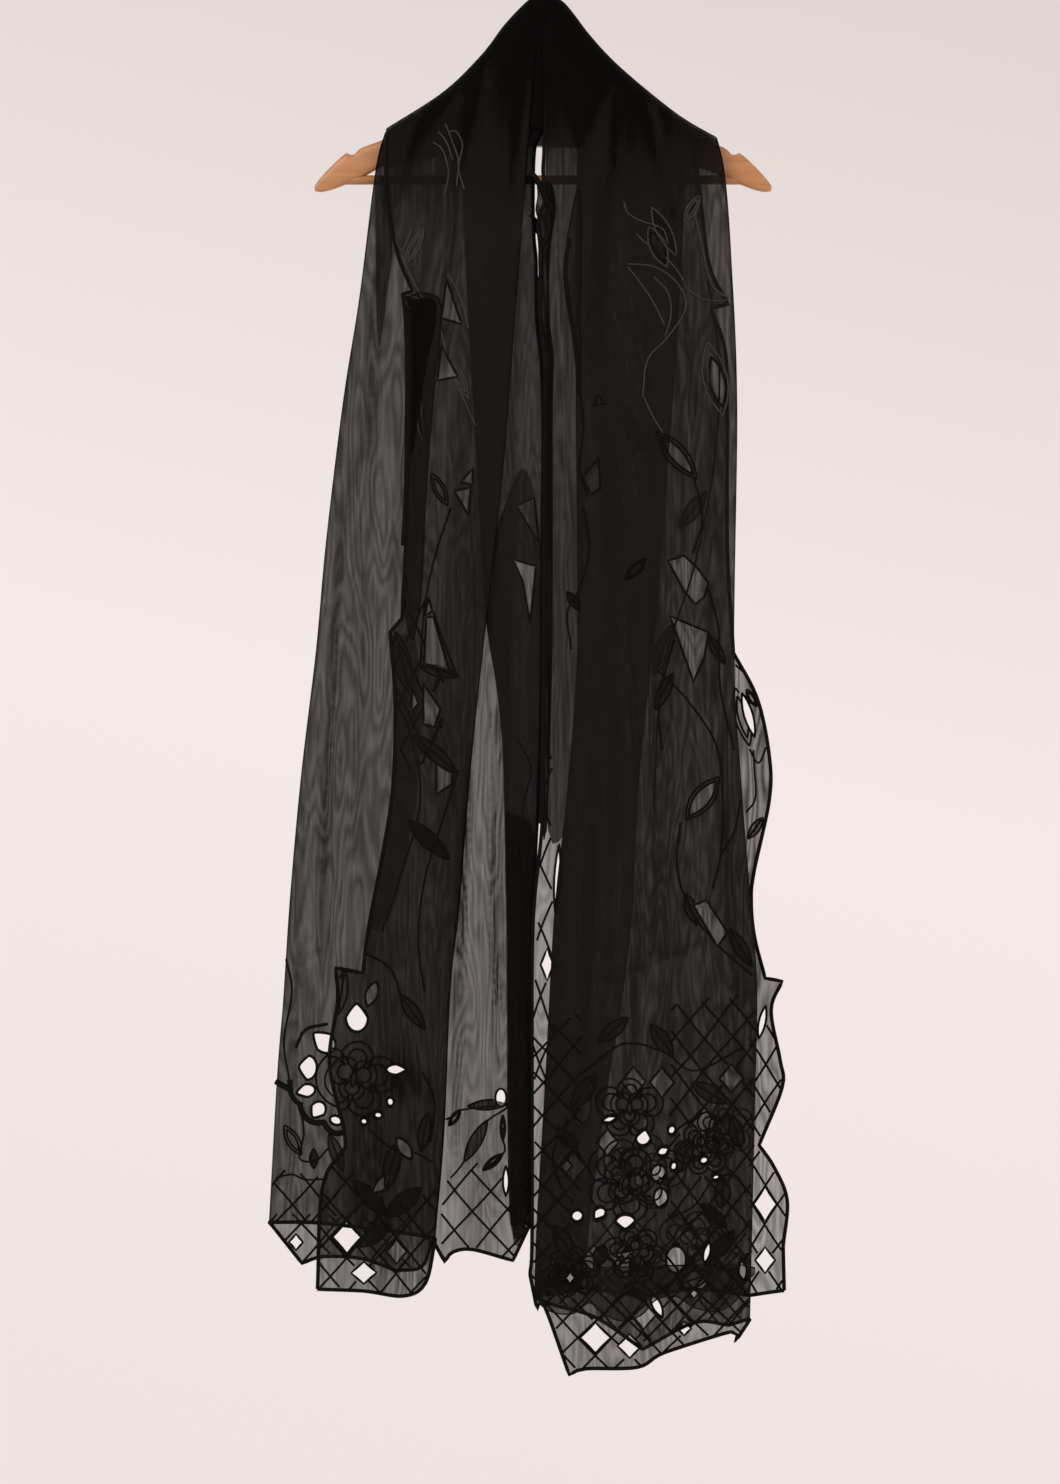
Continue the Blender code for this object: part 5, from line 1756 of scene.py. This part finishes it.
def made_tucks(panel, cords, organza):
    """The tucks of a panel and the dark fillings of its leaves, or None where it has none."""
    name = panel[0]
    pieces = Pieces()
    border = outline(panel)
    for out, shade, corded, corners in TUCKS.get(name, ()):
        rounded = smooth_line([*corners, corners[0]], EDGE_STEP)[:-1]
        pieces.add(*laid_piece(panel, rounded, out), shade)
        if corded:
            cords.add(laid(panel, rounded, out), TUCK_CORD, closed=True)
    for x, down, wide, long, turn, work in LEAVES.get(name, ()):
        if work in LEAF_SHADES:
            loop = hole_loop("lens", x, down, LEAF_FILL[0] * wide, LEAF_FILL[1] * long, turn)
            if inside(loop, border).all():
                pieces.add(*laid_piece(panel, loop, LEAF_OUT), LEAF_SHADES[work])
    return pieces.made(f"{name}_tucks", organza) if pieces.points else None


def neck_lap(organza):
    """The folds that close the neck in front of the hook's stem."""
    pieces = Pieces()
    border = closed_line(LAP, LAP_STEP)
    flat, tris = even_triangles(border, (), LAP_STEP)
    x, down = flat.T
    turned = 1.0 - np.clip((down - ridge_down(x)) / OUTER_TURN, 0.0, 1.0)
    for order in LAP_ORDERS:
        y = -stack_depth(order, down) * np.sqrt(1.0 - turned**2)
        pieces.add(np.column_stack([x, y, -down]), tris, 1.0)
    return pieces.made("neck_lap", organza)


def made_cloth(organza, cord, thread):
    """The shells of all panels with the cords of their edges and holes."""
    for panel in PANELS:
        name = panel[0]
        border = outline(panel)
        points, faces, dense_or_shaded, holes = cloth_shell(panel)
        cloth = organza[3] if "pleat" in name else organza[panel[1] % 3]
        shell = add_mesh(f"{name}_cloth", points, faces, cloth, ("dense_or_shaded", dense_or_shaded))
        fixed(shell, "organza", name)
        cords = Cords()
        for loop in holes:
            cords.add(laid(panel, loop), HOLE_CORD, closed=True)
        for edge, joins in ((panel[3], panel[4]), (panel[5], panel[6])):
            if joins is None:
                side = panel_side(edge, panel[2], panel[1])
                cords.add(laid(panel, side[side[:, 1] > EDGE_START]), EDGE_CORD)
        cords.add(laid(panel, panel_hem(panel)), EDGE_CORD)
        # Cords of the upper sprays, whose lighter colour is a painted highlight
        painted_highlight_cords = Cords()
        ornament(panel, border, holes, cords, painted_highlight_cords)
        tucks = made_tucks(panel, cords, organza[(panel[1] + 1) % 3])
        on_it = [fixed(cords.made(f"{name}_cords", cord), "cord")]
        if painted_highlight_cords.points:
            on_it.append(fixed(painted_highlight_cords.made(f"{name}_sprays", thread), "cord"))
        if tucks is not None:
            on_it.append(fixed(tucks, "organza"))
        hung(shell, name, "hung", on_it)


def hung(shell, node, held, on_it):
    """States the cut of a stretch of cloth, how the bow holds it, and what is sewn on it."""
    width, length = SHEETS[node]
    flat = (width * MM, length * MM)
    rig.sheet(shell, flat=flat, held=held, rests_on=["hanger_bow_wood"], with_pieces=on_it)


def laid(panel, line, out=0.0):
    """Points of the front view laid on a panel, a distance in front of it."""
    line = np.asarray(line, float)
    y, _ = panel_depth(panel, line)
    return np.column_stack([line[:, 0], y - out, -line[:, 1]])


def main():
    wood, wire = wood_material(), wire_material()
    cord = thread_material("corded_edge", 900.0, CORD_COLOURS, (0.6, 0.07), (0.6, 0.0006))
    organza = [organza_material(f"organza_{i}", COVER, i, WATERED[i]) for i in range(3)]
    organza.append(organza_material("organza_pleat", PLEAT_COVER, 1, WATERED[1]))
    made_stage()
    made_hanger(wood, wire)
    # A lighter copy of the cord for the upper sprays: its shine is real, its lighter colour a painted highlight
    thread = thread_material("cord_painted_highlight", 700.0, PAINTED_HIGHLIGHT_THREAD_COLOURS, (0.5, 0.2), (0.5, 0.0005))
    made_cloth(organza, cord, thread)
    neck = fixed(neck_cloth(organza[0]), "organza", "neck_back")
    hung(neck, "neck_back", "gathered", [fixed(neck_lap(organza[1]), "organza")])


main()
sizes = {"cad": [list(corner) for corner in CAD_BOX], "visual": [list(corner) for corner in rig.bounds()]}
with open("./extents.json", "w") as file:
    json.dump(sizes, file)
